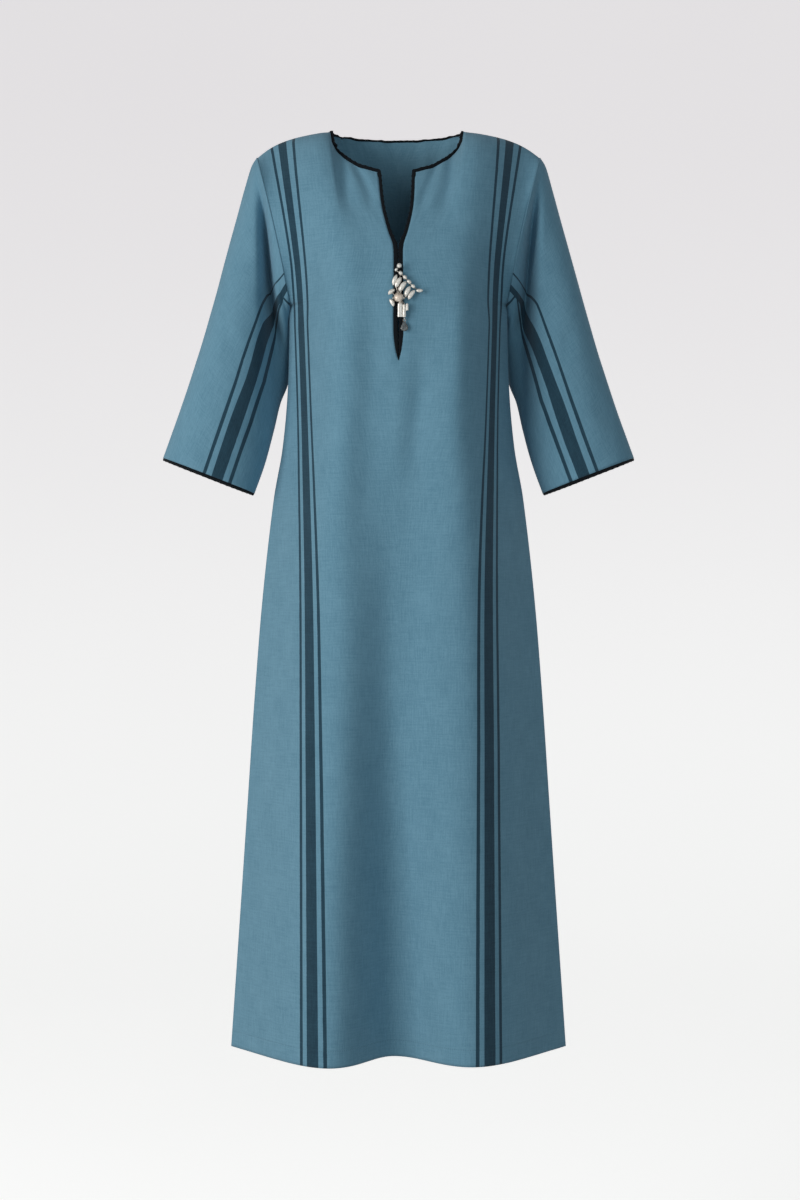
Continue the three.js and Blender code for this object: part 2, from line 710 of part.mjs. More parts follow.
for (const bead of BEADS) {
  const depth = bead.width;
  const place = [BALL_X + bead.x, stoneY(depth), BALL_Z + bead.z];
  addMesh(bead.name, stoneGeometry(...place, bead.length, bead.width, depth, bead.turn), 'stone');
}
for (const petal of PETALS) {
  const depth = petal.width * PETAL_DEPTH;
  const place = [BALL_X + petal.x, stoneY(depth), BALL_Z + petal.z];
  addMesh(petal.name, stoneGeometry(...place, petal.length, petal.width, depth, petal.turn), 'stone');
}
const ballSize = BALL_RADIUS * 2;
const ballDepth = ballSize * BALL_DEPTH;
const ballPlace = [BALL_X, stoneY(ballDepth), BALL_Z];
addMesh('ball', stoneGeometry(...ballPlace, ballSize, ballSize, ballDepth, 0), 'silver');
for (const stem of STEMS) {
  const geometry = new THREE.CylinderGeometry(STEM_TOP_RADIUS, STEM_FOOT_RADIUS, 1, 8);
  geometry.rotateX(Math.PI / 2);
  geometry.scale(stem.width, STEM_DEPTH, stem.length);
  geometry.translate(BALL_X + stem.x, stoneY(STEM_DEPTH), BALL_Z + stem.top - stem.length / 2);
  addMesh(stem.name, geometry, 'stone');
}

// Wires behind the stones, the pin that goes through the cloth edges, and the fixed eye
const beadWire = BEADS.map((bead) => spray(bead.x, bead.z));
const wires = [tubeAlong(beadWire, WIRE, 6)];
for (const petal of PETALS) wires.push(tubeAlong([spray(0, 0), spray(petal.x, petal.z)], WIRE, 6));
for (const stem of STEMS) {
  const end = spray(stem.x, stem.top - STEM_WIRE_LENGTH);
  wires.push(tubeAlong([spray(0, 0), end], WIRE, 6));
}
const spokeEnd = PETALS.find((petal) => petal.name === 'petal_2');
wires.push(tubeAlong([spray(spokeEnd.x, spokeEnd.z), spray(BEADS[2].x, BEADS[2].z)], WIRE, 6));
const spine = [spray(0, 0), spray(EYE_X, EYE_Z + EYE_RADIUS)];
wires.push(tubeAlong(spine, WIRE, 6));
const eye = new THREE.TorusGeometry(EYE_RADIUS, LINK_WIRE, 6, 12);
eye.rotateY(Math.PI / 2);
eye.translate(BALL_X + EYE_X, wireY, BALL_Z + EYE_Z);
wires.push(eye);
const disc = new THREE.CylinderGeometry(DISC_RADIUS, DISC_RADIUS, WIRE * 2, 12);
disc.translate(BALL_X, wireY, BALL_Z);
wires.push(disc);
addMesh('spray_wires', joined(wires), 'silver');

const pinY = clothY - EDGING_PROUD - STONE_GAP;
const pinDepth = SPRAY_LIFT - STONE_GAP;
const pinPlate = new THREE.BoxGeometry(PIN_PLATE.width, pinDepth, PIN_PLATE.height);
pinPlate.translate(BALL_X, pinY - pinDepth / 2, BALL_Z);
addMesh('pin_plate', pinPlate, 'silver');

// The drop and its ring hang from the lowest point of the eye
const pivotZ = BALL_Z + EYE_Z - EYE_RADIUS;
const ringZ = pivotZ + LINK_WIRE + LINK_GAP + LINK_WIRE - RING_RADIUS;
const ring = new THREE.TorusGeometry(RING_RADIUS, LINK_WIRE, 6, 14);
ring.rotateX(Math.PI / 2);
ring.translate(BALL_X + EYE_X, wireY, ringZ);
const dropTop = ringZ - RING_RADIUS + LINK_WIRE;
const dropOutline = DROP_OUTLINE.map(([out, down]) => {
  return new THREE.Vector2(out * DROP_WIDTH, down * DROP_LENGTH);
});
const drop = new THREE.LatheGeometry(dropOutline.reverse(), 12);
drop.rotateX(Math.PI / 2);
drop.scale(1, DROP_THICK / DROP_WIDTH, 1);
drop.translate(BALL_X + EYE_X, wireY, dropTop);
addMesh('drop', joined([drop, ring]), 'smoky');

export default group;
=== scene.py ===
"""A long blue kaftan with dark woven stripes, held out in its worn form with nobody in it."""
import math

import bmesh
import bpy
import numpy as np
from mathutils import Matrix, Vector, noise


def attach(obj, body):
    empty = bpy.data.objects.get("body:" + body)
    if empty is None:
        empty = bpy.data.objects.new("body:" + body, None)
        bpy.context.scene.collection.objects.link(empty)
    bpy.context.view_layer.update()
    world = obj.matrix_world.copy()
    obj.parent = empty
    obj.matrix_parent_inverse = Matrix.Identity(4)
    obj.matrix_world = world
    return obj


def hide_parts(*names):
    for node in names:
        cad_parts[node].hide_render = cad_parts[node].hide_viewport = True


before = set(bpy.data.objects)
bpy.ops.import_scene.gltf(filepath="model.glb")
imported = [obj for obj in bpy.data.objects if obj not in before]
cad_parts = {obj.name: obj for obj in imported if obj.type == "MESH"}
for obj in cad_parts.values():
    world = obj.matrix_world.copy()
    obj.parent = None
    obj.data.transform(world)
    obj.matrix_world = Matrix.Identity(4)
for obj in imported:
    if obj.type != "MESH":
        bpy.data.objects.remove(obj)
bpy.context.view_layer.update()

MM = 0.001

# Camera

CAMERA_PLACE = (0.00225, -3.0, -0.702)
LENS = 60
SENSOR_HEIGHT = 36


def new_object(name, data):
    thing = bpy.data.objects.new(name, data)
    bpy.context.scene.collection.objects.link(thing)
    return thing


camera_data = bpy.data.cameras.new("camera")
camera_data.sensor_fit = "VERTICAL"
camera_data.sensor_height = SENSOR_HEIGHT
camera_data.lens = LENS
camera = new_object("camera", camera_data)
camera.location = CAMERA_PLACE
camera.rotation_euler = (math.radians(90), 0, 0)
bpy.context.scene.camera = camera

# Sizes of the cloth in millimetres: the front faces -Y and the wearer's left is at +X

CLOTH = 1.3
SEAM_HALF_GAP = 0.05
HEM_Z = -1371
UNDERARM_Z = -260
UNDERARM_X = 163
SHOULDER_X = 211
NECK_X = 100
NECK_DROP = {"front": 77, "back": 2.5}
NECK_REACH = {"front": 70, "back": 58}
ARMHOLE_BOW = 55
SLIT_TOP_HALF = 27
SLIT_FOOT_Z = -357
CENTRE_LEAN = -3

# z, half width, front depth, back depth, slant of the front's sides, centre valley, back flutes
BODY = (
    (-260, 163, 128, 98, 2.15, 0, 0),
    (-385, 166, 133, 101, 2.1, 10, 2),
    (-475, 174, 136, 103, 2.05, 17, 4),
    (-550, 187, 139, 106, 2.0, 24, 7),
    (-700, 204, 144, 113, 1.95, 38, 13),
    (-850, 216, 149, 121, 1.9, 52, 19),
    (-1000, 226, 154, 129, 1.88, 66, 25),
    (-1150, 236, 159, 137, 1.86, 80, 31),
    (-1371, 251, 166, 148, 1.84, 98, 38),
)
HALF, FRONT, BACK, SLANT, VALLEY, FLUTES = 1, 2, 3, 4, 5, 6
# The wearer's left side of the chest is a little fuller: z and added slant
FULLER_LEFT = ((-260, 0.5), (-475, 0.4), (-700, 0.12), (-1000, 0))
VALLEY_AT = -6
VALLEY_LEFT = 56
VALLEY_RIGHT = 74
# place across the back, width, share of the depth
BACK_FLUTES = ((-118, 52, 0.55), (-8, 58, 1.0), (112, 50, 0.7))

# z and half width of the neck slit
SLIT = (
    (-75, 27), (-129, 23), (-168, 14.5), (-190, 7.6),
    (-218, 6.6), (-314, 7.2), (-340, 4.5), (-357, 0),
)

# place along the sleeve, outer x and z, inner x and z, middle, tuck, depth
SLEEVE = (
    (0, 211, -40, 163, -260, 0, 0, 55),
    (0.05, 219.5, -53, 164.2, -275, 2, 12, 57),
    (0.1, 227, -76, 164.7, -290, 3, 24, 59),
    (0.25, 243, -135, 163, -330, 4, 38, 60),
    (0.38, 258, -190, 168.5, -372, 4, 34, 60),
    (0.5, 274, -250, 180, -404, 3, 22, 59),
    (0.65, 296, -328, 189, -446, 0, 12, 56),
    (0.82, 322, -408, 201.5, -497, -5, 4, 52),
    (1, 350.5, -490.5, 216.5, -542.5, -12, 0, 48),
)
# The deep fold down the front of each sleeve: z, x, depth, width to its outer side and to its inner one
SLEEVE_FOLD = (
    (-50, 203, 0, 10, 7), (-95, 201, 10, 9, 7), (-140, 198.5, 26, 8.5, 6.5), (-184, 195.5, 38, 9, 6.5),
    (-236, 192.5, 44, 9.5, 7.5), (-260, 191, 45, 10, 9), (-289, 188.5, 42, 10, 12), (-318, 187, 36, 12, 19),
    (-376, 186, 26, 15, 24), (-450, 188, 10, 18, 26), (-510, 190, 0, 18, 26),
)
FOLD_INNER_WIDER = {"right": 1, "left": 1.5}

# Middle of the woven band on the body: z, distance from the middle, lean to the wearer's left
BODY_BAND = (
    (-20, 170, -4), (-196, 148, -2), (-305, 143, -1),
    (-644, 131.6, 0), (-932, 129.5, 2), (-1371, 127.4, 4.3),
)
# Middle of the band on a sleeve: place along it, degrees round from the outer edge
SLEEVE_BAND = (
    (0, 137.4), (0.1, 125), (0.2, 115.5), (0.3, 107.5), (0.45, 99.5),
    (0.6, 97.5), (0.75, 99.8), (1, 100.6),
)
# Distances in the cloth's maps go no further than this
BAND_SEEN = 60
STRIPES_APART = 19.75
# Above this height the stripes are placed as seen from the front, and blend into it over some way
STRIPES_BY_EYE_Z = -300
STRIPES_BLEND = 38
# How much the stripes are narrowed, as seen from the front, where the cloth turns away under the arm:
# z, outer thin one's place, thick one's width, inner thin one's place, thin ones' width
NARROWING = {
    "front": ((-20, 0.85, 0.66, 0.88, 0.78), (-105, 0.64, 0.56, 0.74, 0.68),
              (-196, 0.475, 0.485, 0.62, 0.62), (-262, 0.50, 0.46, 0.58, 0.56)),
    "back": ((-20, 0.85, 0.78, 0.88, 0.82), (-110, 0.72, 0.74, 0.80, 0.78),
             (-262, 0.56, 0.655, 0.735, 0.65)),
}
# x and z of the three stripes down the front of each sleeve: outer thin, thick, inner thin
SLEEVE_STRIPES = {
    "right": (
        ((287, -520), (259, -436.5), (239.5, -377.5), (231, -348), (221.5, -318.5), (211.5, -289),
         (203, -259.5), (197.5, -244.5), (182, -231.5), (167.5, -218), (156, -208)),
        ((268.5, -527), (239, -436.5), (219, -377.5), (211, -348), (204.5, -318.5), (197, -292),
         (189.5, -275.5), (182, -259.5), (167.5, -239), (153, -223)),
        ((250.5, -534), (218.5, -436.5), (201.5, -377.5), (195.5, -348), (190.5, -321.5),
         (185, -296.5), (179, -271), (172, -250.5), (161.5, -262.5), (152, -273)),
    ),
    "left": (
        ((293, -516), (275, -466), (254.5, -407), (235, -348), (215, -289), (206.5, -263),
         (199, -248), (189, -236), (167.5, -218), (156, -208)),
        ((274.5, -525), (253, -466), (234, -407), (214, -348), (204.5, -318.5), (192.5, -286),
         (185, -255), (164.5, -237.5), (153, -228)),
        ((256, -532.5), (232.5, -466), (212.5, -407), (198.5, -348), (187, -300), (175, -246),
         (158.5, -267), (150, -278)),
    ),
}
# z and how much the sleeves' stripes are narrowed
SLEEVE_NARROWING = ((-524, 0.9), (-432, 0.94), (-376, 0.78), (-317, 0.7), (-288, 0.62), (-265, 0.5),
                    (-240, 0.4))

# Creases: from x and z, to x and z, width, depth. One that starts above NECK_CREASES_Z runs out at the neck
NECK_CREASES_Z = -100
FRONT_CREASES = (
    (-86, -58, -66, -142, 8, 3.6),
    (-56, -80, -34, -140, 7, 3.2),
    (76, -58, 64, -148, 8, 3.4),
    (46, -82, 30, -146, 7, 3.0),
    (-49, -205, -44, -700, 24, 6.2),
    (27, -360, 30, -540, 14, 3.0),
    (97, -215, 92, -620, 25, -6.5),
    (-118, -640, -104, -1120, 26, 2.2),
    (92, -700, 106, -1371, 24, 2.0),
    (-150, -300, -128, -420, 15, 1.6),
    (148, -292, 131, -440, 15, 1.6),
)
BACK_CREASES = (
    (-72, -20, -60, -110, 10, 2.4),
    (-30, -12, -22, -90, 9, 1.8),
    (38, -12, 30, -105, 9, 2.0),
    (80, -22, 70, -96, 10, 2.2),
    (-66, -280, -74, -640, 22, 3.0),
    (50, -330, 58, -760, 24, 2.6),
    (-140, -250, -96, -350, 14, 2.4),
    (142, -246, 104, -330, 14, 2.2),
    (-150, -700, -160, -1300, 24, 2.4),
    (160, -640, 172, -1371, 26, 2.6),
)
SLEEVE_CREASES = {
    "front": (
        (262, -300, 236, -352, 12, 1.6),
        (214, -470, 240, -420, 11, 1.5),
        (300, -400, 318, -470, 14, 1.2),
    ),
    "back": (
        (206, -120, 190, -250, 14, 5.0),
        (232, -250, 190, -330, 12, 3.6),
        (262, -320, 200, -380, 12, 2.6),
        (290, -420, 250, -500, 14, 1.8),
    ),
}

# Edging on the neck, slit and cuffs
EDGING_WIDTH = 4.4
BACK_EDGING_WIDTH = 2.8
CUFF_EDGING_WIDTH = 3.4
NECK_EDGING_LEAN = 0.8
SLIT_EDGING_WIDER = 1.8
EDGING_THICK = 3.2
EDGING_OVERLAP = 1.8
SLIT_OVERLAP = 0.3
EDGING_SIDES = 12
EDGING_STEP = 0.9
EDGING_SOFTEN = 5
SLIT_GAP = 0.5
PICOT_STEP = 10
PICOT_HEIGHT = 0.7
PICOT_WIDTH = 1.7

# How finely the cloth is divided
NECK_COLUMNS = 24
SIDE_COLUMNS = 40
YOKE_ROWS = 64
LOWER_STEP = 5
SLEEVE_RINGS = 112
SLEEVE_FRONT_STEPS = 128
SLEEVE_BACK_STEPS = 64
# Creases and waves fade out towards a panel's side and top edges over this far
SIDE_FADE = 22
TOP_FADE = 16


# Shape of the cloth

def smooth(rows, column, at):
    """A column of a table, smooth between its rows and level outside them"""
    table = np.array(rows, float)
    if table[0, 0] > table[-1, 0]:
        table = table[::-1]
    places = table[:, 0]
    values = table[:, column]
    at = np.clip(np.asarray(at, float), places[0], places[-1])
    row = np.clip(np.searchsorted(places, at, "right") - 1, 0, len(places) - 2)
    before = np.maximum(np.arange(len(places)) - 1, 0)
    after = np.minimum(np.arange(len(places)) + 1, len(places) - 1)
    slope = (values[after] - values[before]) / (places[after] - places[before])
    span = places[row + 1] - places[row]
    part = (at - places[row]) / span
    square = part ** 2
    cube = part ** 3
    return (values[row] * (2 * cube - 3 * square + 1) + slope[row] * span * (cube - 2 * square + part)
            + values[row + 1] * (3 * square - 2 * cube) + slope[row + 1] * span * (cube - square))


def unit(ways):
    return ways / np.maximum(np.linalg.norm(ways, axis=-1, keepdims=True), 1e-9)


def bell(distance, width):
    return np.exp(-((distance / width) ** 2))


def ramp(value):
    """0 below 0, 1 above 1, and a soft step between"""
    value = np.clip(value, 0, 1)
    return value * value * (3 - 2 * value)


def slit_half(z):
    return np.where(z <= SLIT_FOOT_Z, 0, np.maximum(0, smooth(SLIT, 1, z)))


def front_round(share, z, sign):
    fuller = smooth(FULLER_LEFT, 1, z) * ramp(share / 0.4) * (sign > 0)
    slant = (smooth(BODY, SLANT, z) + fuller) * np.maximum(0, 1 - share)
    return slant / (1 + slant ** 5) ** 0.2


def back_round(share):
    return np.maximum(0, 1 - np.minimum(1, share) ** 2.2) ** (1 / 2.2)


def body_depth(side, x, z):
    share = np.abs(x) / smooth(BODY, HALF, z)
    if side == "front":
        round_share = front_round(share, z, np.sign(x))
        offset = x - VALLEY_AT
        valley = bell(offset, np.where(offset < 0, VALLEY_LEFT, VALLEY_RIGHT))
        valley = valley * smooth(BODY, VALLEY, z) * np.minimum(1, round_share * 2)
        return smooth(BODY, FRONT, z) * round_share - valley
    round_share = back_round(share)
    flutes = sum(depth * bell(x - at, width) for at, width, depth in BACK_FLUTES)
    flutes = flutes * np.minimum(1, round_share * 2) - 0.5 * round_share
    return smooth(BODY, BACK, z) * round_share + smooth(BODY, FLUTES, z) * flutes


def shoulder_z(x):
    out = np.abs(x) - NECK_X
    return -0.16 * out - 22 * (out / (SHOULDER_X - NECK_X)) ** 4


def armhole_x(rise):
    return UNDERARM_X + (SHOULDER_X - UNDERARM_X) * rise ** 1.25


def yoke_points(side, sign, top_x, share, rise):
    """The cloth above the underarm: rise is 0 there and 1 at the shoulder or neck edge"""
    neck = np.sqrt(np.maximum(0, 1 - (top_x / NECK_X) ** 2))
    top_z = np.where(top_x < NECK_X, -NECK_DROP[side] * neck, shoulder_z(top_x))
    z = UNDERARM_Z + rise * (top_z - UNDERARM_Z)
    slit = slit_half(z) if side == "front" else 0
    x = slit + (armhole_x(rise) - slit) * share
    out_share = x / armhole_x(rise)
    low = body_depth(side, sign * out_share * UNDERARM_X, np.full_like(z, UNDERARM_Z))
    fullness = 0.95 - 0.42 * ramp((top_x - NECK_X * 0.55) / (NECK_X * 0.7))
    swell = (1 - rise ** 2) ** fullness
    bow = ARMHOLE_BOW * np.sqrt(np.maximum(0, 1 - (2 * rise - 1) ** 2))
    inner_bow = ARMHOLE_BOW * 16 * rise ** 2 * (1 - rise) ** 2
    round_share = front_round(out_share, UNDERARM_Z, sign) if side == "front" else back_round(out_share)
    edge_share = (1 - round_share) ** 6
    forward = bow * edge_share + inner_bow * ((1 - round_share) ** 1.3 - edge_share)
    top_depth = NECK_REACH[side] * neck
    depth = top_depth + (low - top_depth) * swell + forward
    lean = CENTRE_LEAN * rise ** 2 * (1 - out_share ** 2)
    return np.stack([sign * x + lean, -depth if side == "front" else depth, z], -1)


def body_points(side, sign, share, z):
    slit = slit_half(z) if side == "front" else 0
    x = sign * (slit + (smooth(BODY, HALF, z) - slit) * share)
    depth = body_depth(side, x, z)
    return np.stack([x, -depth if side == "front" else depth, z], -1)


def crease_depth(creases, x, z):
    """Soft troughs, each with a low ridge on both sides, thinning out towards its ends"""
    depth = np.zeros_like(x)
    for from_x, from_z, to_x, to_z, width, deep in creases:
        run_x, run_z = to_x - from_x, to_z - from_z
        length = math.hypot(run_x, run_z)
        along = ((x - from_x) * run_x + (z - from_z) * run_z) / length ** 2
        across = ((x - from_x) * run_z - (z - from_z) * run_x) / length
        across = across + width * 0.45 * np.sin(along * 3.3 + from_x)
        taper = ramp((1.12 - along) / 0.6)
        if from_z < NECK_CREASES_Z:
            taper = taper * ramp((along + 0.12) / 0.45)
        wide = width * (0.85 + 0.35 * np.clip(along, 0, 1))
        ridge = bell(np.abs(across) - wide * 1.9, wide)
        depth += deep * taper * (bell(across, wide) - 0.28 * ridge)
    return depth


def unevenness(x, y, z, seed):
    """The gentle waviness that any hanging cloth has, in millimetres"""
    flat = []
    for px, py, pz in zip(x.ravel(), y.ravel(), z.ravel()):
        broad = noise.noise(Vector((px / 62 + seed, py / 90, pz / 190)))
        small = noise.noise(Vector((px / 24 - seed, py / 40, pz / 60)))
        flat.append(1.5 * broad + 0.35 * small)
    return np.array(flat).reshape(x.shape)


def panel_half(side, sign):
    """One half of a panel as a grid of points, rows from the hem up, columns from the middle out"""
    first = SLIT_TOP_HALF if side == "front" else 0
    across_neck = np.arange(NECK_COLUMNS) / NECK_COLUMNS
    neck_tops = first + (NECK_X - first) * (0.8 * across_neck + 0.2 * np.sin(math.pi / 2 * across_neck))
    turns = math.pi / 2 * np.arange(SIDE_COLUMNS + 1) / SIDE_COLUMNS
    tops = np.concatenate([neck_tops, NECK_X + (SHOULDER_X - NECK_X) * np.sin(turns)])
    shares = (tops - first) / (SHOULDER_X - first)
    below = round((SLIT_FOOT_Z - HEM_Z) / LOWER_STEP)
    beside = round((UNDERARM_Z - SLIT_FOOT_Z) / LOWER_STEP)
    lower = np.concatenate([np.linspace(HEM_Z, SLIT_FOOT_Z, below, endpoint=False),
                            np.linspace(SLIT_FOOT_Z, UNDERARM_Z, beside, endpoint=False)])
    rises = (1 - np.cos(math.pi * np.arange(YOKE_ROWS + 1) / YOKE_ROWS)) / 2
    skirt = body_points(side, sign, *np.meshgrid(shares, lower))
    yoke = yoke_points(side, sign, np.meshgrid(tops, rises)[0], *np.meshgrid(shares, rises))
    return np.concatenate([skirt, yoke])


def arcs(grid, axis):
    """Length along the grid from its first row or column, in millimetres"""
    steps = np.linalg.norm(np.diff(grid, axis=axis), axis=-1)
    start = np.zeros_like(np.take(steps, [0], axis=axis))
    return np.cumsum(np.concatenate([start, steps], axis=axis), axis=axis)


def even_distance(distance, grid):
    """Turns a distance measured along the rows into one measured square to the stripe"""
    by_row, by_column = np.gradient(grid, axis=(0, 1))
    rise_row, rise_column = np.gradient(distance, axis=(0, 1))
    e = (by_row ** 2).sum(-1)
    f = (by_row * by_column).sum(-1)
    g = (by_column ** 2).sum(-1)
    steep = g * rise_row ** 2 - 2 * f * rise_row * rise_column + e * rise_column ** 2
    steep = np.sqrt(np.maximum(steep, 0) / np.maximum(e * g - f ** 2, 1e-9))
    return distance / np.clip(steep, 0.7, 3)


def crossing(distance, across):
    """Arc length at which each row of a grid passes the line that a distance is measured from"""
    orders = np.argsort(distance, axis=1)
    return np.array([np.interp(0, row[order], arc[order])
                     for row, arc, order in zip(distance, across, orders)])


def stripe_maps(*stripes):
    """The maps that place the thick, outer thin and inner thin stripe: distance from the middle of each"""
    thick, outer_thin, inner_thin = (np.clip(stripe, -BAND_SEEN, BAND_SEEN) for stripe in stripes)
    return {"band": (thick, outer_thin), "thin": (inner_thin, outer_thin)}


def from_line(line, x, z):
    """Signed distance of places from a line of points, positive on its outer side"""
    points = np.array(line, float)
    runs = np.diff(points, axis=0)
    lengths = np.hypot(runs[:, 0], runs[:, 1])
    facing = np.stack([-runs[:, 1], runs[:, 0]], 1) / lengths[:, None]
    at_corner = np.concatenate([facing[:1], facing[1:] + facing[:-1], facing[-1:]])
    best = np.full(x.shape, 1e9)
    signed = np.zeros(x.shape)
    for number, (start, run, length) in enumerate(zip(points, runs, lengths)):
        part = ((x - start[0]) * run[0] + (z - start[1]) * run[1]) / length ** 2
        way = [np.where(part < 0, at_corner[number, axis],
                        np.where(part > 1, at_corner[number + 1, axis], facing[number, axis]))
               for axis in (0, 1)]
        part = np.clip(part, 0, 1)
        off_x, off_z = x - start[0] - part * run[0], z - start[1] - part * run[1]
        distance = np.hypot(off_x, off_z)
        side = np.sign(off_x * way[0] + off_z * way[1])
        signed = np.where(distance < best, distance * side, signed)
        best = np.minimum(best, distance)
    return signed


def shape_panel(side, sign):
    """Points of one half of a panel with its creases, and where each lies in the cloth"""
    grid = panel_half(side, sign)
    x, y, z = (grid[..., part].copy() for part in range(3))
    across = arcs(grid, 1)
    to_top = arcs(grid[::-1], 0)[::-1]
    middle = sign * smooth(BODY_BAND, 1, z) + smooth(BODY_BAND, 2, z)
    seen = sign * (x - middle)
    from_stripe = across - crossing(seen, across)[:, None]
    woven = even_distance(from_stripe, grid)
    outer, thick, inner, thin = (smooth(NARROWING[side], column, z) for column in range(1, 5))
    near_top = ramp((z - STRIPES_BY_EYE_Z) / STRIPES_BLEND)
    stripes = [by_arc + (by_eye - by_arc) * near_top for by_arc, by_eye in (
        (woven, seen / thick),
        (woven - STRIPES_APART, (seen - STRIPES_APART * outer) / thin),
        (woven + STRIPES_APART, (seen + STRIPES_APART * inner) / thin))]
    to_side = across[:, -1:] - across
    side_fade = ramp(to_side / SIDE_FADE)
    near_neck = (NECK_X + 40 - np.abs(x)) / 60
    creases = FRONT_CREASES if side == "front" else BACK_CREASES
    push = crease_depth(creases, x, z) * (side_fade * ramp(near_neck + to_top / TOP_FADE))
    wave = unevenness(x, y, z, 3.7 if side == "front" else 11.3)
    if side == "front":
        from_slit = np.abs(x) - slit_half(z)
        wave = wave * ramp(from_slit / 30 + ramp((SLIT_FOOT_Z - z) / 40))
        push = push * ramp((from_slit + 6) / 20 + ramp((SLIT_FOOT_Z - z) / 30))
    inward = 1 if side == "front" else -1
    grid[..., 1] += inward * (push + wave * (side_fade * ramp(to_top / TOP_FADE)))
    seam = -inward * SEAM_HALF_GAP
    lower_rows = len(grid) - YOKE_ROWS
    grid[:lower_rows, -1, 1] = seam
    grid[-1, NECK_COLUMNS:, 1] = seam
    return {
        "grid": grid,
        "grain": (sign * (from_stripe + 150), z - HEM_Z),
        **stripe_maps(*stripes),
        "edge": (np.minimum(to_side, BAND_SEEN), np.minimum(to_top.max(0) - to_top, BAND_SEEN)),
    }


def sleeve_oval(along, angle):
    share = (1 + np.cos(angle)) / 2
    out_x, out_z, in_x, in_z, middle, tuck, depth = (
        smooth(SLEEVE, column, along) for column in range(1, 8))
    x = in_x + (out_x - in_x) * share
    z = in_z + (out_z - in_z) * share
    y = middle + tuck * (1 - share) - depth * np.sin(angle)
    return np.stack([x, y, z], -1)


def sleeve_points(along, angle, inner_wider):
    """The sleeve at +X: angle 0 is its outer edge, then round by the front"""
    points = sleeve_oval(along, angle)
    rise = (1 + np.cos(angle)) / 2
    tip_z = shoulder_z(SHOULDER_X)
    edge = np.stack([armhole_x(rise), -ARMHOLE_BOW * np.sin(angle),
                     UNDERARM_Z + rise * (tip_z - UNDERARM_Z)], -1)
    points = points + (edge - sleeve_oval(np.zeros_like(along), angle)) * ((1 - along) ** 4)[..., None]
    x, z = points[..., 0], points[..., 2]
    from_fold = x - smooth(SLEEVE_FOLD, 1, z)
    outer_width, inner_width = smooth(SLEEVE_FOLD, 3, z), smooth(SLEEVE_FOLD, 4, z) * inner_wider
    width = np.where(from_fold > 0, outer_width, inner_width)
    fold = np.maximum(0, smooth(SLEEVE_FOLD, 2, z)) * bell(from_fold, width)
    fold = fold * (1 - bell(along, 0.03))
    points[..., 1] += fold * np.maximum(0, np.sin(angle)) ** 0.5
    return points


def outward(grid):
    """Outward direction at each point of a tube of rings"""
    by_ring = np.gradient(grid, axis=0)
    by_step = np.roll(grid, -1, 1) - np.roll(grid, 1, 1)
    return unit(np.cross(by_step, by_ring))


def shape_sleeve(sign):
    """A sleeve's points with its creases, as a front grid, a back grid and the rings all round"""
    name = "left" if sign > 0 else "right"
    places = (np.arange(SLEEVE_RINGS + 1) / SLEEVE_RINGS) ** 1.25
    front_angles = math.pi * np.arange(SLEEVE_FRONT_STEPS) / SLEEVE_FRONT_STEPS
    back_angles = math.pi * (1 + np.arange(SLEEVE_BACK_STEPS) / SLEEVE_BACK_STEPS)
    angles = np.concatenate([front_angles, back_angles])
    along, angle = np.meshgrid(places, angles, indexing="ij")
    grid = sleeve_points(along, angle, FOLD_INNER_WIDER[name])
    facing = outward(grid)
    if facing[SLEEVE_RINGS // 2, 0, 0] < 0:
        facing = -facing
    x, y, z = (grid[..., part] for part in range(3))
    fade = ramp(along / 0.1) * ramp(np.abs(np.sin(angle)) / 0.5)
    push = np.where(np.sin(angle) > 0, crease_depth(SLEEVE_CREASES["front"], x, z),
                    crease_depth(SLEEVE_CREASES["back"], x, z)) * fade
    push = push * (1 if sign > 0 else 0.8)
    wave = unevenness(x, y, z, 5.1 if sign > 0 else 17.9) * ramp(along / 0.12)
    grid = grid - facing * (push + wave * 0.8)[..., None]
    closed = np.concatenate([grid, grid[:, :1]], 1)
    across = arcs(closed, 1)
    down = arcs(closed, 0)
    turns = np.append(angles, 2 * math.pi)
    middle = np.radians(smooth(SLEEVE_BAND, 1, places))
    back_at = np.array([np.interp(2 * math.pi - m, turns, row) for m, row in zip(middle, across)])
    woven = -even_distance(across - back_at[:, None], closed)
    inner = across[:, SLEEVE_FRONT_STEPS]
    narrow = smooth(SLEEVE_NARROWING, 1, closed[..., 2])
    outer_thin, thick, inner_thin = (
        from_line(line, closed[..., 0], closed[..., 2]) / narrow for line in SLEEVE_STRIPES[name])
    from_inner = across - inner[:, None]
    closed[..., 0] *= sign
    to_seam = np.minimum(np.minimum(np.abs(from_inner), down), BAND_SEEN)
    maps = {"grain": (from_inner, down), "edge": (to_seam, np.full_like(down, BAND_SEEN))}
    halves = []
    for columns, *stripes in (
            (slice(0, SLEEVE_FRONT_STEPS + 1), thick, outer_thin, inner_thin),
            (slice(SLEEVE_FRONT_STEPS, None), woven, woven - STRIPES_APART, woven + STRIPES_APART)):
        whole = {**maps, **stripe_maps(*stripes)}
        cut = {key: tuple(part[:, columns] for part in value) for key, value in whole.items()}
        halves.append({"grid": closed[:, columns], **cut})
    return {"halves": halves, "rings": closed}


# Making meshes

def grid_faces(rows, columns, start, turned):
    """Corner numbers of a grid's quads"""
    row, column = np.meshgrid(np.arange(rows - 1), np.arange(columns - 1), indexing="ij")
    here = (start + row * columns + column).ravel()
    quads = np.stack([here, here + 1, here + columns + 1, here + columns], -1)
    return quads[:, ::-1] if turned else quads


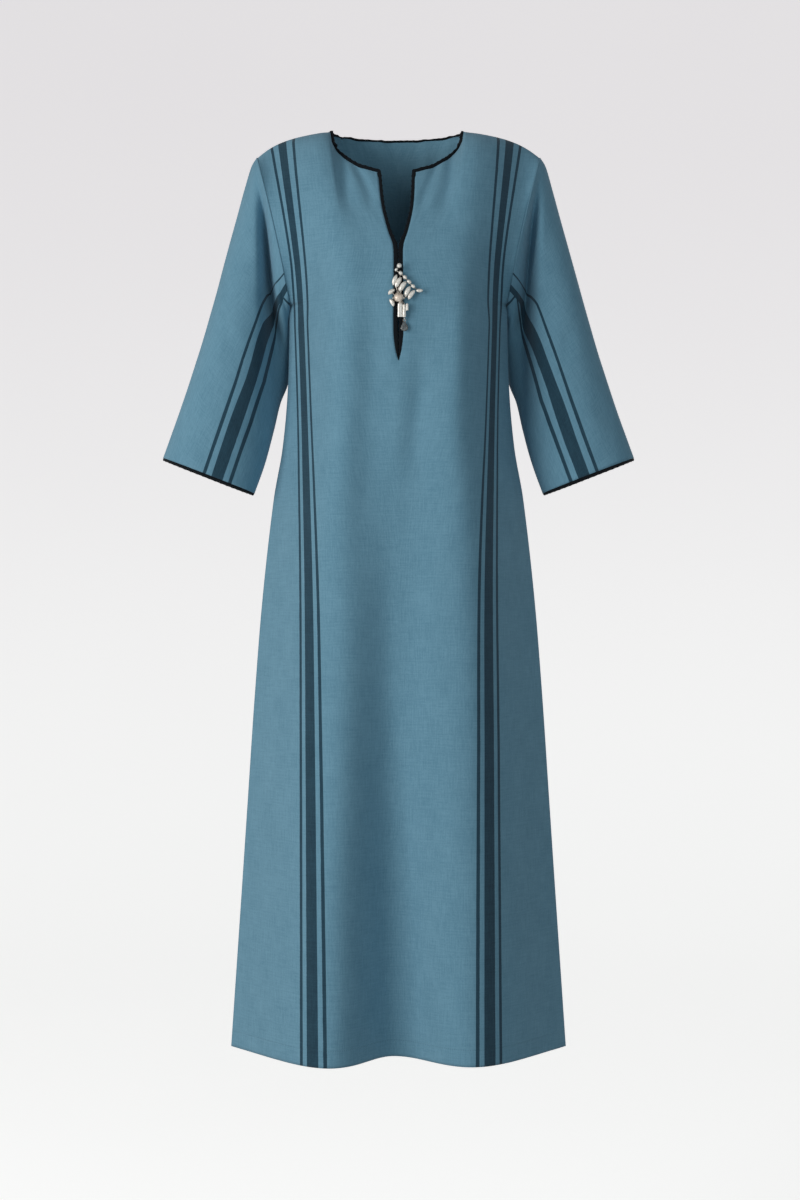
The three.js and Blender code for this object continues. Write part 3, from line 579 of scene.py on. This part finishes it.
def mesh_object(name, points, faces, maps, mend):
    """A smooth object from points and maps in millimetres, with a last step to mend its mesh"""
    mesh = bpy.data.meshes.new(name)
    mesh.from_pydata((points * MM).tolist(), [], faces)
    corners = [corner for face in faces for corner in face]
    for key, values in maps.items():
        mesh.uv_layers.new(name=key).data.foreach_set("uv", (values[corners] * MM).ravel())
    piece = new_object(name, mesh)
    shape = bmesh.new()
    shape.from_mesh(mesh)
    mend(shape)
    shape.to_mesh(mesh)
    shape.free()
    mesh.shade_smooth()
    return piece


def cloth_object(name, parts, turned):
    """A sheet of cloth from its grids, outer side out, with a thickness inwards"""
    quads, start = [], 0
    for part, over in zip(parts, turned):
        rows, columns = part["grid"].shape[:2]
        quads.append(grid_faces(rows, columns, start, over))
        start += rows * columns
    points = np.concatenate([part["grid"].reshape(-1, 3) for part in parts])
    maps = {key: np.concatenate([np.stack(part[key], -1).reshape(-1, 2) for part in parts])
            for key in ("grain", "band", "thin", "edge")}
    piece = mesh_object(name, points, np.concatenate(quads).tolist(), maps,
                        lambda shape: bmesh.ops.remove_doubles(shape, verts=shape.verts, dist=0.02 * MM))
    wall = piece.modifiers.new("wall", "SOLIDIFY")
    wall.thickness = CLOTH * MM
    wall.offset = -1
    return piece


def choose(piece):
    """Nothing but this piece is selected and active"""
    bpy.ops.object.select_all(action="DESELECT")
    piece.select_set(True)
    bpy.context.view_layer.objects.active = piece


def finish_modifiers(piece):
    choose(piece)
    for modifier in list(piece.modifiers):
        bpy.ops.object.modifier_apply(modifier=modifier.name)


def softened(rows, reach, closed):
    """Each row averaged with its neighbours up to a reach, twice"""
    count = len(rows)
    for _ in range(2):
        total = np.zeros_like(rows)
        for step in range(-reach, reach + 1):
            at = np.arange(count) + step
            total += rows[at % count if closed else np.clip(at, 0, count - 1)]
        rows = total / (2 * reach + 1)
    return rows


def edge_frame(points, inward, inside, closed):
    """Small steps along an edge of cloth, and the directions out of the cloth and through it at each"""
    lengths = np.concatenate([[0], np.cumsum(np.linalg.norm(np.diff(points, axis=0), axis=1))])
    wanted = np.linspace(0, lengths[-1], round(lengths[-1] / EDGING_STEP) + 1)
    data = np.concatenate([points, inward, unit(inside - points)], 1)
    data = np.stack([np.interp(wanted, lengths, data[:, part]) for part in range(9)], -1)
    if closed:
        data, wanted = data[:-1], wanted[:-1]
    line, inward, beside = data[:, :3], data[:, 3:6], data[:, 6:]
    if closed:
        along = unit(np.roll(line, -1, 0) - np.roll(line, 1, 0))
    else:
        along = unit(np.gradient(line, axis=0))
    away = unit((beside * along).sum(1, keepdims=True) * along - beside)
    away = unit(softened(away, EDGING_SOFTEN, closed))
    through = np.cross(away, along)
    through = through * np.sign((through * inward).sum(1, keepdims=True))
    through = unit(softened(through, EDGING_SOFTEN, closed))
    return line, away, through, wanted


def edging_strip(name, frame_of_edge, widths, overlaps, closed):
    """A narrow corded edging with picots, wrapped over the edge of the cloth"""
    line, away, through, wanted = frame_of_edge
    pitch = wanted[-1] / round(wanted[-1] / PICOT_STEP)
    from_picot = (wanted + pitch / 2) % pitch - pitch / 2
    picot = PICOT_HEIGHT * bell(from_picot, PICOT_WIDTH)
    full = widths + picot * np.minimum(1, widths / EDGING_WIDTH) ** 2
    middle = (full - overlaps) / 2
    half = (full + overlaps) / 2
    rings = []
    for turn in 2 * math.pi * np.arange(EDGING_SIDES) / EDGING_SIDES:
        wide, thick = (math.copysign(abs(part) ** 0.8, part) for part in (math.cos(turn), math.sin(turn)))
        out = middle + half * wide
        deep = CLOTH / 2 + EDGING_THICK / 2 * thick
        rings.append(line + away * out[:, None] + through * deep)
    grid = np.stack(rings, 1)
    count, sides = grid.shape[:2]
    faces = []
    for row in range(count if closed else count - 1):
        after = (row + 1) % count
        for side in range(sides):
            turn = (side + 1) % sides
            faces.append((row * sides + side, after * sides + side,
                          after * sides + turn, row * sides + turn))
    if not closed:
        faces.append(tuple(range(sides)))
        faces.append(tuple((count - 1) * sides + side for side in reversed(range(sides))))
    grain = np.stack([np.repeat(wanted, sides), np.tile(np.arange(sides) * 1.2, count)], -1)
    return mesh_object(name, grid.reshape(-1, 3), faces, {"grain": grain},
                       lambda shape: bmesh.ops.recalc_face_normals(shape, faces=shape.faces))


# Materials

class Value:
    """A socket of a material, for use in sums"""

    def __init__(self, recipe, socket):
        self.recipe = recipe
        self.socket = socket

    def sum(self, operation, *values):
        return self.recipe.add("ShaderNodeMath", {"operation": operation}, dict(enumerate(values)))

    def __add__(self, other):
        return self.sum("ADD", self, other)

    def __sub__(self, other):
        return self.sum("SUBTRACT", self, other)

    def __rsub__(self, other):
        return self.sum("SUBTRACT", other, self)

    def __mul__(self, other):
        return self.sum("MULTIPLY", self, other)

    def __truediv__(self, other):
        return self.sum("DIVIDE", self, other)

    def __abs__(self):
        return self.sum("ABSOLUTE", self)

    def sine(self):
        return self.sum("SINE", self)

    def larger(self, other):
        return self.sum("MAXIMUM", self, other)

    def step(self, low, high):
        """0 up to low and 1 from high, soft between"""
        return self.recipe.add("ShaderNodeMapRange", {"interpolation_type": "SMOOTHSTEP"},
                               {"Value": self, "From Min": low, "From Max": high})


class Recipe:
    """One material and its nodes"""

    def __init__(self, name, **constants):
        self.material = bpy.data.materials.new(name)
        self.material.use_nodes = True
        self.tree = self.material.node_tree
        self.shader = self.tree.nodes["Principled BSDF"]
        for socket, value in constants.items():
            self.shader.inputs[socket.replace("_", " ")].default_value = value

    def add(self, kind, settings=None, inputs=None, output=0):
        """A node of a kind, its settings first and then the values or links of its sockets"""
        node = self.tree.nodes.new(kind)
        for setting, value in (settings or {}).items():
            setattr(node, setting, value)
        for socket, value in (inputs or {}).items():
            self.feed(node.inputs[socket], value)
        return Value(self, node.outputs[output])

    def feed(self, socket, value):
        if isinstance(value, Value):
            self.tree.links.new(value.socket, socket)
        else:
            socket.default_value = value

    def give(self, socket, value):
        self.feed(self.shader.inputs[socket], value)

    def mix(self, factor, first, second):
        """Two colours mixed"""
        return self.add("ShaderNodeMix", {"data_type": "RGBA"}, {0: factor, 6: first, 7: second}, 2)

    def map_of(self, name):
        """The coordinates of one of the piece's own maps"""
        return self.parts(self.add("ShaderNodeUVMap", {"uv_map": name}))

    def parts(self, vector):
        split = self.tree.nodes.new("ShaderNodeSeparateXYZ")
        self.feed(split.inputs[0], vector)
        return [Value(self, output) for output in split.outputs]

    def joined(self, x, y, z=0):
        return self.add("ShaderNodeCombineXYZ", None, {0: x, 1: y, 2: z})

    def noise(self, place, scale, detail=2, rough=0.5):
        return self.add("ShaderNodeTexNoise", None,
                        {"Vector": place, "Scale": scale, "Detail": detail, "Roughness": rough})

    def object_place(self):
        return self.add("ShaderNodeTexCoord", None, None, "Object")

    def bump(self, height, distance, strength=1, under=None):
        inputs = {"Height": height, "Distance": distance, "Strength": strength}
        if under is not None:
            inputs["Normal"] = under
        return self.add("ShaderNodeBump", None, inputs)


def colour(red, green, blue):
    """A colour given as it looks on a screen, 0 to 255, as the linear one that a material takes"""
    def linear(part):
        part /= 255
        return part / 12.92 if part <= 0.04045 else ((part + 0.055) / 1.055) ** 2.4
    return (linear(red), linear(green), linear(blue), 1)


# Half widths of the stripes, and the rest of the cloth's detail, in metres
STRIPE_THICK = 0.0095
STRIPE_THIN = 0.00275
STRIPE_SOFT = 0.00045
THREAD = 0.0011
HEM_TURNED_UP = 0.024
STITCH = 0.0034


def woven_linen():
    """Plain-woven blue cloth with dark woven stripes, slubs and a stitched hem"""
    linen = Recipe("woven_linen", Roughness=0.92, Sheen_Weight=0.12, Sheen_Roughness=0.5,
                   Specular_IOR_Level=0.25)
    across, along, _ = linen.map_of("grain")
    from_thick, from_outer, _ = linen.map_of("band")
    from_inner, _, _ = linen.map_of("thin")
    to_seam, to_hem, _ = linen.map_of("edge")
    warp = linen.noise(linen.joined(across * 520, along * 38), 1, 2, 0.6)
    weft = linen.noise(linen.joined(across * 30, along * 470), 1, 2, 0.6)
    cloud = linen.noise(linen.joined(across * 26, along * 17), 1, 3, 0.6)
    grainy = linen.noise(linen.joined(across * 420, along * 380), 1, 2, 0.6)
    ragged = (warp - 0.5) * 0.0007 + (grainy - 0.5) * 0.0005
    thick, outer, inner = (
        1 - abs(from_middle + ragged).step(half_width - STRIPE_SOFT, half_width + STRIPE_SOFT)
        for from_middle, half_width in (
            (from_thick, STRIPE_THICK), (from_outer, STRIPE_THIN), (from_inner, STRIPE_THIN)))
    stripe = thick.larger(outer).larger(inner)
    tone = (cloud - 0.5) * 0.5 + (warp - 0.5) * 0.75 + (weft - 0.5) * 0.6 + (grainy - 0.5) * 0.6
    tone = (tone + 0.5).step(0.0, 1.0)
    ground = linen.mix(tone, colour(94, 139, 161), colour(119, 163, 185))
    dark = linen.mix(tone, colour(24, 54, 70), colour(41, 76, 93))
    cloth = linen.mix(stripe, ground, dark)
    stitch_line = 1 - abs(to_hem - HEM_TURNED_UP).step(0.0003, 0.001)
    dashes = (across * 2 * math.pi / STITCH).sine().step(-0.3, 0.4)
    seam_line = 1 - to_seam.step(0.0002, 0.0022)
    shade = stitch_line * dashes * 0.22 + seam_line * 0.14
    linen.give("Base Color", linen.mix(shade, cloth, colour(48, 76, 90)))
    weave = (across * 2 * math.pi / THREAD).sine() * (along * 2 * math.pi / THREAD).sine()
    height = weave * 0.25 + (warp - 0.5) * 0.9 + (weft - 0.5) * 0.8
    small = linen.bump(height, 0.00022, 0.55)
    seams = seam_line * -1 - stitch_line * dashes * 0.5
    linen.give("Normal", linen.bump(seams, 0.0006, 0.6, small))
    return linen.material


def corded_edging():
    """Near-black cotton edging with a twisted stitch"""
    edging = Recipe("corded_edging", Roughness=0.9, Sheen_Weight=0.03, Specular_IOR_Level=0.15)
    along, round_it, _ = edging.map_of("grain")
    twist = ((along + round_it * 0.35) * 2 * math.pi / 0.0026).sine()
    fluff = edging.noise(edging.joined(along * 700, round_it * 700), 1, 3, 0.6)
    edging.give("Base Color", edging.mix(fluff.step(0.3, 0.75), colour(4, 7, 11), colour(13, 20, 27)))
    edging.give("Normal", edging.bump(twist * 0.5 + fluff, 0.0004, 0.8))
    return edging.material


def pale_stone():
    """Pale polished stone with cloudy veins and darker wear"""
    stone = Recipe("pale_stone", Roughness=0.28, Coat_Weight=0.35, Coat_Roughness=0.12, Metallic=0.25)
    place = stone.object_place()
    veins = stone.noise(place, 420, 4, 0.6)
    specks = stone.noise(place, 1500, 2, 0.7)
    body = stone.mix(veins.step(0.35, 0.7), colour(206, 199, 190), colour(246, 241, 233))
    stone.give("Base Color", stone.mix(specks.step(0.62, 0.78) * 0.5, body, colour(120, 110, 100)))
    stone.give("Roughness", veins * 0.25 + 0.18)
    stone.give("Normal", stone.bump(veins + specks * 0.3, 0.0002, 0.4))
    return stone.material


def warm_ball():
    """Warm beige metal, hammered and rubbed"""
    ball = Recipe("warm_ball", Roughness=0.35, Metallic=0.35, Coat_Weight=0.2)
    place = ball.object_place()
    dents = ball.noise(place, 700, 2, 0.5)
    patch = ball.noise(place, 260, 3, 0.6)
    ball.give("Base Color", ball.mix(patch.step(0.35, 0.68), colour(188, 166, 148), colour(232, 219, 205)))
    ball.give("Roughness", dents * 0.3 + 0.22)
    ball.give("Normal", ball.bump(dents, 0.0003, 0.5))
    return ball.material


def mottled(name, scale, change, dark, light, rough, **constants):
    """A material whose colour and roughness change in patches: the patches' scale, where the darker colour
    gives way to the lighter one, both colours, and the roughness' spread and its least value"""
    paint = Recipe(name, **constants)
    patch = paint.noise(paint.object_place(), scale, 3, 0.6)
    paint.give("Base Color", paint.mix(patch.step(*change), colour(*dark), colour(*light)))
    paint.give("Roughness", patch * rough[0] + rough[1])
    return paint.material


LINEN = woven_linen()
EDGING = corded_edging()
PALE = pale_stone()
WARM = warm_ball()
SILVER = mottled("old_silver", 900, (0.4, 0.7), (120, 114, 106), (205, 201, 194), (0.35, 0.2),
                 Roughness=0.35, Metallic=0.95)
SMOKY = mottled("smoky_stone", 300, (0.35, 0.7), (96, 104, 106), (150, 154, 152), (0.2, 0.08),
                Roughness=0.12, IOR=1.5, Transmission_Weight=0.55, Coat_Weight=0.3)


def dress(piece, material, body, nodes):
    """Gives a finished piece its material, slot and body, and hides the model's nodes that it stands for"""
    piece.data.materials.append(material)
    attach(piece, body)
    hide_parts(*nodes)
    return piece


# Cloth pieces

panels = {}
for side in ("front", "back"):
    halves = {sign: shape_panel(side, sign) for sign in (-1, 1)}
    turned = [(side == "front") == (sign < 0) for sign in (-1, 1)]
    piece = cloth_object(f"{side}_cloth", [halves[-1], halves[1]], turned)
    dress(piece, LINEN, "garment", [f"{side}_panel"])
    panels[side] = (piece, halves)

sleeves = {}
for sign, name in ((-1, "right"), (1, "left")):
    shaped = shape_sleeve(sign)
    piece = cloth_object(f"sleeve_cloth_{name}", shaped["halves"], [sign > 0] * 2)
    dress(piece, LINEN, "garment", [f"sleeve_{name}"])
    sleeves[name] = (piece, shaped)

for piece, _ in (*panels.values(), *sleeves.values()):
    finish_modifiers(piece)


# Edging on the neck, slit and cuffs

def grid_inward(grid, towards):
    """Direction through the cloth to its inner side, at each point of a grid"""
    by_row, by_column = np.gradient(grid, axis=(0, 1))
    facing = unit(np.cross(by_row, by_column))
    return facing * np.sign((facing * towards).sum(-1, keepdims=True))


def neck_line(side, sign):
    """Edge points from the neck point to the middle, and on the front down the slit"""
    grid = panels[side][1][sign]["grid"]
    plain = panel_half(side, sign)
    inward = grid_inward(plain, np.array([0, 0, -150.0]) - plain)
    tops = np.arange(NECK_COLUMNS, -1, -1)
    lean = np.array([0, 0, NECK_EDGING_LEAN if side == "front" else 0])
    beside = unit(plain[-5, tops + 4] - plain[-1, tops])
    beside = beside - lean * ramp(np.arange(len(tops)) / 6)[:, None]
    points, ways, inside = grid[-1, tops], inward[-3, tops], grid[-1, tops] + beside
    if side == "front":
        open_rows = [row for row in range(len(grid) - 2, -1, -1) if grid[row, 0, 2] > SLIT_FOOT_Z - 1]
        points = np.concatenate([points, grid[open_rows, 0]])
        ways = np.concatenate([ways, inward[open_rows, 0]])
        slit_side = grid[open_rows, 0] + unit(plain[open_rows, 3] - plain[open_rows, 0])
        inside = np.concatenate([inside, slit_side])
    return points, ways, inside


def neck_widths(line):
    """Width of the edging and how far it laps over the cloth, from place to place"""
    x, y, z = line.T
    in_slit = ramp((SLIT[0][0] - 4 - z) / 6) * (y < 0)
    widest = EDGING_WIDTH + SLIT_EDGING_WIDER * ramp((-165 - z) / 30)
    room = np.maximum(0.9, slit_half(z) - SLIT_GAP)
    at_back = ramp((y + 8) / 16)
    open_width = EDGING_WIDTH + (BACK_EDGING_WIDTH - EDGING_WIDTH) * at_back
    widths = open_width + (np.minimum(widest, room) - open_width) * in_slit
    overlaps = EDGING_OVERLAP * (1 - 0.5 * at_back)
    return widths, overlaps + (SLIT_OVERLAP - overlaps) * in_slit


runs = [neck_line("front", -1), neck_line("back", -1), neck_line("back", 1), neck_line("front", 1)]
whole_neck = [np.concatenate([right[::-1], right_back[1:], left_back[::-1][1:], left[1:]])
              for right, right_back, left_back, left in zip(*runs)]
neck = edge_frame(*whole_neck, False)
neck_width, neck_overlap = neck_widths(neck[0])
lengths = [np.linalg.norm(np.diff(run[0], axis=0), axis=1).sum() for run in runs]
joins = (lengths[0], lengths[0] + (lengths[1] + lengths[2]))
cuts = [0, *(int(np.searchsorted(neck[3], place)) for place in joins), len(neck[3]) - 1]
for name, first, last in zip(("right", "back", "left"), cuts, cuts[1:]):
    part = slice(first, last + 1)
    strip = edging_strip(f"neck_cord_{name}", [values[part] for values in neck], neck_width[part],
                         neck_overlap[part], False)
    dress(strip, EDGING, "garment", [f"neck_edging_{name}"])

for name, (_, shaped) in sleeves.items():
    grid = shaped["rings"]
    inward = grid_inward(grid, grid.mean(1, keepdims=True) - grid)
    cuff = edge_frame(grid[-1], inward[-2], grid[-3], True)
    level = np.ones(len(cuff[3]))
    strip = edging_strip(f"cuff_cord_{name}", cuff, CUFF_EDGING_WIDTH * level,
                         EDGING_OVERLAP * 0.5 * level, True)
    dress(strip, EDGING, "garment", [f"cuff_edging_{name}"])


# Ornament: places are in millimetres from the middle of its ball

BALL_X = 0.2
BALL_Z = -268.5
WIRE_Y = -130.01
WIRE = 0.7
STONE_GAP = 0.3
# name, x, z, length, width, turn
BEADS = (
    ("bead_top", 1, 45.5, 7.4, 7.4, 0),
    ("bead_top_small", -3.2, 40.1, 5.4, 4.4, 50),
    ("bead_2", 3, 35, 6.8, 5.8, -45),
    ("bead_3", 9.2, 29, 7, 5.9, -45),
    ("bead_4", 15.2, 22.6, 7.4, 5.6, -42),
    ("bead_5", 21, 16.2, 6.8, 5.4, -42),
    ("bead_tip", 30.2, 10, 9.8, 5.4, 0),
)
PETALS = (
    ("petal_1", -5.2, 25.2, 16.5, 6.2, 70),
    ("petal_2", -0.2, 21.6, 17, 7.4, 62),
    ("petal_3", 6, 15.8, 17.5, 7.6, 58),
    ("petal_4", 13, 8.6, 17.5, 7, 64),
    ("petal_5", 18.6, 4, 16.5, 6.6, 54),
    ("leaf_upper", -10.2, 8.2, 12, 6.2, 38),
    ("leaf_lower", -9.7, -7.2, 12.5, 6, -62),
)
# name, x, top, length, width
STEMS = (
    ("stem_long", 2.2, -8.4, 19.4, 7),
    ("stem_middle", 8.1, -10, 18, 4.8),
    ("stem_short", 12.4, -8.6, 10, 3.6),
)
STEM_DEPTH = 4
BALL_SIZE = 13.8
# Depth of the ball and of the long stones, as shares of their width
BALL_DEPTH = 0.8
PETAL_DEPTH = 0.8
PETAL_BOW = 0.6


def stone_y(depth):
    return WIRE_Y - WIRE - STONE_GAP - depth / 2


def select_where(piece, test, kind="VERT"):
    """In edit mode, selects the vertices or faces whose middle passes a test"""
    bpy.ops.mesh.select_mode(type=kind)
    bpy.ops.mesh.select_all(action="DESELECT")
    shape = bmesh.from_edit_mesh(piece.data)
    for item in shape.verts if kind == "VERT" else shape.faces:
        if test(item.co if kind == "VERT" else item.calc_center_median()):
            item.select_set(True)
    shape.select_flush_mode()
    bmesh.update_edit_mesh(piece.data)


def begin(add, name, **settings):
    """A new form, turned and placed, with all of it selected for editing"""
    bpy.ops.object.select_all(action="DESELECT")
    add(**settings)
    piece = bpy.context.object
    piece.name = name
    bpy.ops.object.transform_apply(location=True, rotation=True, scale=True)
    bpy.ops.object.mode_set(mode="EDIT")
    bpy.ops.mesh.select_all(action="SELECT")
    return piece


def stretch(by, middle=(0, 0, 0)):
    bpy.ops.transform.resize(value=by, center_override=middle)


def round_off(piece, levels=1):
    """Ends the editing and rounds the form"""
    bpy.ops.object.mode_set(mode="OBJECT")
    piece.modifiers.new("rounding", "SUBSURF").levels = levels
    finish_modifiers(piece)
    bpy.ops.object.shade_smooth()


def set_down(piece, place, turn=0):
    """Turns a finished stone in the plane of the front and puts it in its place"""
    choose(piece)
    piece.rotation_euler = (0, -math.radians(turn), 0)
    piece.location = [part * MM for part in place]
    bpy.ops.object.transform_apply(location=True, rotation=True, scale=True)
    return piece


def bead(name, place, length, width, turn):
    """A tumbled bead: a ball drawn out, with a sunk drill hole at each end"""
    piece = begin(bpy.ops.mesh.primitive_uv_sphere_add, name, segments=20, ring_count=12,
                  radius=width * MM / 2, rotation=(0, math.radians(90), 0))
    stretch((length / width, 1, 1))
    for end in (-1, 1):
        select_where(piece, lambda at: at.x * end > 0.46 * length * MM, "FACE")
        bpy.ops.mesh.inset(thickness=0.12 * width * MM / 2, depth=0)
        bpy.ops.mesh.extrude_region_move(TRANSFORM_OT_translate={"value": (-end * 0.07 * length * MM, 0, 0)})
    round_off(piece)
    return set_down(piece, place, turn)


def petal(name, place, length, width, depth, turn):
    """A long stone: pointed at both ends, a little bowed, with a ridge down its face"""
    piece = begin(bpy.ops.mesh.primitive_uv_sphere_add, name, segments=16, ring_count=14, radius=0.5 * MM,
                  rotation=(0, math.radians(90), 0))
    stretch((length, depth, width))
    for share, thinner in ((0.44, 0.8), (0.34, 0.92)):
        for end in (-1, 1):
            select_where(piece, lambda at: at.x * end > share * length * MM)
            stretch((1, thinner, thinner))
    for share, part in ((0.4, 0.45), (0.22, 0.55)):
        select_where(piece, lambda at: abs(at.x) < share * length * MM)
        bpy.ops.transform.translate(value=(0, 0, PETAL_BOW * part * MM))
    select_where(piece, lambda at: at.y < -0.38 * depth * MM and abs(at.x) < 0.38 * length * MM)
    stretch((1, 1, 0.45), (0, 0, PETAL_BOW * MM * 0.8))
    round_off(piece)
    return set_down(piece, place, turn)


def stem(name, x, top, length, width):
    """A short flared stem with a rounded foot"""
    piece = begin(bpy.ops.mesh.primitive_cylinder_add, name, vertices=20, radius=0.5 * MM, depth=length * MM)
    stretch((width, STEM_DEPTH, 1))
    select_where(piece, lambda at: at.z < -0.45 * length * MM)
    stretch((1.12, 1.12, 1), (0, 0, -length / 2 * MM))
    for end in (-1, 1):
        select_where(piece, lambda at: at.z * end > 0.499 * length * MM, "FACE")
        bpy.ops.mesh.bevel(offset=0.6 * MM, segments=3, affect="EDGES")
    round_off(piece)
    bpy.ops.object.shade_smooth_by_angle(angle=math.radians(40))
    return set_down(piece, (BALL_X + x, stone_y(STEM_DEPTH), BALL_Z + top - length / 2))


def pressed_ball():
    """The ball in the middle: flattened a little, with a turned groove round it"""
    piece = begin(bpy.ops.mesh.primitive_uv_sphere_add, "ball_pressed", segments=32, ring_count=20,
                  radius=BALL_SIZE / 2 * MM, rotation=(math.radians(90), 0, 0))
    stretch((1, BALL_DEPTH, 1))
    select_where(piece, lambda at: at.y < -0.36 * BALL_SIZE * BALL_DEPTH * MM, "FACE")
    bpy.ops.mesh.inset(thickness=0.5 * MM, depth=-0.25 * MM)
    bpy.ops.mesh.inset(thickness=0.4 * MM, depth=0.3 * MM)
    round_off(piece)
    return set_down(piece, (BALL_X, stone_y(BALL_SIZE * BALL_DEPTH), BALL_Z))


for name, x, z, length, width, turn in BEADS:
    piece = bead(f"{name}_stone", (BALL_X + x, stone_y(width), BALL_Z + z), length, width, turn)
    dress(piece, PALE, "garment", [name])
for name, x, z, length, width, turn in PETALS:
    depth = width * PETAL_DEPTH
    piece = petal(f"{name}_stone", (BALL_X + x, stone_y(depth), BALL_Z + z), length, width, depth, turn)
    dress(piece, PALE, "garment", [name])
for name, x, top, length, width in STEMS:
    dress(stem(f"{name}_stone", x, top, length, width), PALE, "garment", [name])
dress(pressed_ball(), WARM, "garment", ["ball"])

# The loose drop under the stems, on its ring
EYE_X = 8.4
EYE_Z = -29.4
EYE_RADIUS = 1.9
RING_RADIUS = 1.9
LINK_WIRE = 0.5
LINK_GAP = 0.3
DROP_LENGTH = 14.5
DROP_WIDTH = 12
DROP_THICK = 5
# Share of the width at the drop's neck, then shares of its width and of its length, down to its foot
NECK_OUT = 0.1
DROP_OUTLINE = ((0.16, 0.12), (0.34, 0.36), (0.48, 0.62), (0.46, 0.8), (0.3, 0.93), (0.1, 0.99))


def hanging_drop():
    """A flattened drop drawn down ring by ring from its neck, and the ring that it hangs on"""
    ring_z = BALL_Z + EYE_Z - EYE_RADIUS + 2 * LINK_WIRE + LINK_GAP - RING_RADIUS
    top = ring_z - RING_RADIUS + LINK_WIRE
    x, y = (BALL_X + EYE_X) * MM, WIRE_Y * MM
    stone = begin(bpy.ops.mesh.primitive_circle_add, "smoky_drop", vertices=24,
                  radius=NECK_OUT * DROP_WIDTH * MM, fill_type="NGON", location=(x, y, top * MM))
    before_out, before_down = NECK_OUT, 0
    for out, down in DROP_OUTLINE:
        step = (down - before_down) * DROP_LENGTH * MM
        bpy.ops.mesh.extrude_region_move(TRANSFORM_OT_translate={"value": (0, 0, -step)})
        grow = out / before_out
        stretch((grow, grow, 1), (x, y, (top - down * DROP_LENGTH) * MM))
        before_out, before_down = out, down
    bpy.ops.mesh.select_all(action="SELECT")
    stretch((1, DROP_THICK / DROP_WIDTH, 1), (x, y, 0))
    bpy.ops.mesh.normals_make_consistent(inside=False)
    round_off(stone, 2)
    stone.data.materials.append(SMOKY)
    ring = begin(bpy.ops.mesh.primitive_torus_add, "drop_ring", major_segments=32, minor_segments=10,
                 major_radius=RING_RADIUS * MM, minor_radius=LINK_WIRE * MM,
                 rotation=(math.radians(90), 0, 0), location=(x, y, ring_z * MM))
    bpy.ops.object.mode_set(mode="OBJECT")
    bpy.ops.object.shade_smooth()
    ring.data.materials.append(SILVER)
    stone.select_set(True)
    bpy.context.view_layer.objects.active = stone
    bpy.ops.object.join()
    return stone


drop = hanging_drop()
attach(drop, "ornament_drop")
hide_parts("drop")

for node in ("spray_wires", "pin_plate"):
    bpy.data.objects[node].data.materials[0] = SILVER

# Floor, backdrop and light

FLOOR_Z = -1.95
# Reach of the backdrop and its height over the floor, from the middle outwards
SWEEP = ((3.2, 0), (3.9, 0.06), (4.5, 0.28), (4.95, 0.7), (5.15, 1.3), (5.2, 2.2), (5.2, 6.5))


def seamless_backdrop():
    """A pale floor that curves up into a wall all round, glowing with painted light that is brighter towards
    the floor
    """
    bowl = begin(bpy.ops.mesh.primitive_circle_add, "pale_backdrop", vertices=96, radius=SWEEP[0][0],
                 fill_type="NGON", location=(0, 0, FLOOR_Z))
    bpy.ops.mesh.region_to_loop()
    before, low = SWEEP[0]
    for out, up in SWEEP[1:]:
        bpy.ops.mesh.extrude_edges_move(TRANSFORM_OT_translate={"value": (0, 0, up - low)})
        stretch((out / before, out / before, 1))
        before, low = out, up
    round_off(bowl, 2)
    paint = Recipe("pale_backdrop_painted_glow", Roughness=0.9, Specular_IOR_Level=0.1)
    mottle = paint.noise(paint.object_place(), 1.2, 2, 0.5)
    paint.give("Base Color", paint.mix(mottle, colour(232, 233, 234), colour(238, 239, 239)))
    # Painted light: the backdrop glows by itself, brighter on the floor and dimmer up the wall, in place of
    # studio light falling on it
    height = paint.parts(paint.object_place())[2]
    painted_glow = paint.mix(height.step(-2.1, 1.4), (0.688, 0.669, 0.655, 1), (0.55, 0.508, 0.512, 1))
    paint.give("Emission Color", painted_glow)
    paint.give("Emission Strength", 1)
    bowl.data.materials.append(paint.material)
    bowl.visible_shadow = False
    bowl.visible_diffuse = False


seamless_backdrop()


def soft_box(name, azimuth, elevation, distance, size, power, tint):
    """A large soft light that faces the middle of the kaftan; azimuth 0 is the front, then to its left"""
    light = bpy.data.lights.new(name, "AREA")
    light.shape = "RECTANGLE"
    light.size, light.size_y = size
    light.energy = power
    light.color = tint
    lamp = new_object(name, light)
    turn, tilt = math.radians(azimuth), math.radians(elevation)
    middle = Vector((0, 0, -0.7))
    way = Vector((-math.sin(turn) * math.cos(tilt), -math.cos(turn) * math.cos(tilt), math.sin(tilt)))
    lamp.location = middle + way * distance
    lamp.rotation_euler = way.to_track_quat("Z", "Y").to_euler()
    lamp.visible_camera = False


soft_box("key_light", 50, 7, 3.4, (1.7, 2.4), 69, (1.0, 0.985, 0.96))
soft_box("front_fill", -22, 6, 3.4, (2.4, 2.4), 17, (0.78, 0.94, 1.0))

world = bpy.data.worlds.new("studio")
world.use_nodes = True
sky = world.node_tree.nodes["Background"].inputs
sky["Color"].default_value = (0.82, 0.95, 1.0, 1)
sky["Strength"].default_value = 0.2
bpy.context.scene.world = world
bpy.context.scene.view_settings.view_transform = "Standard"
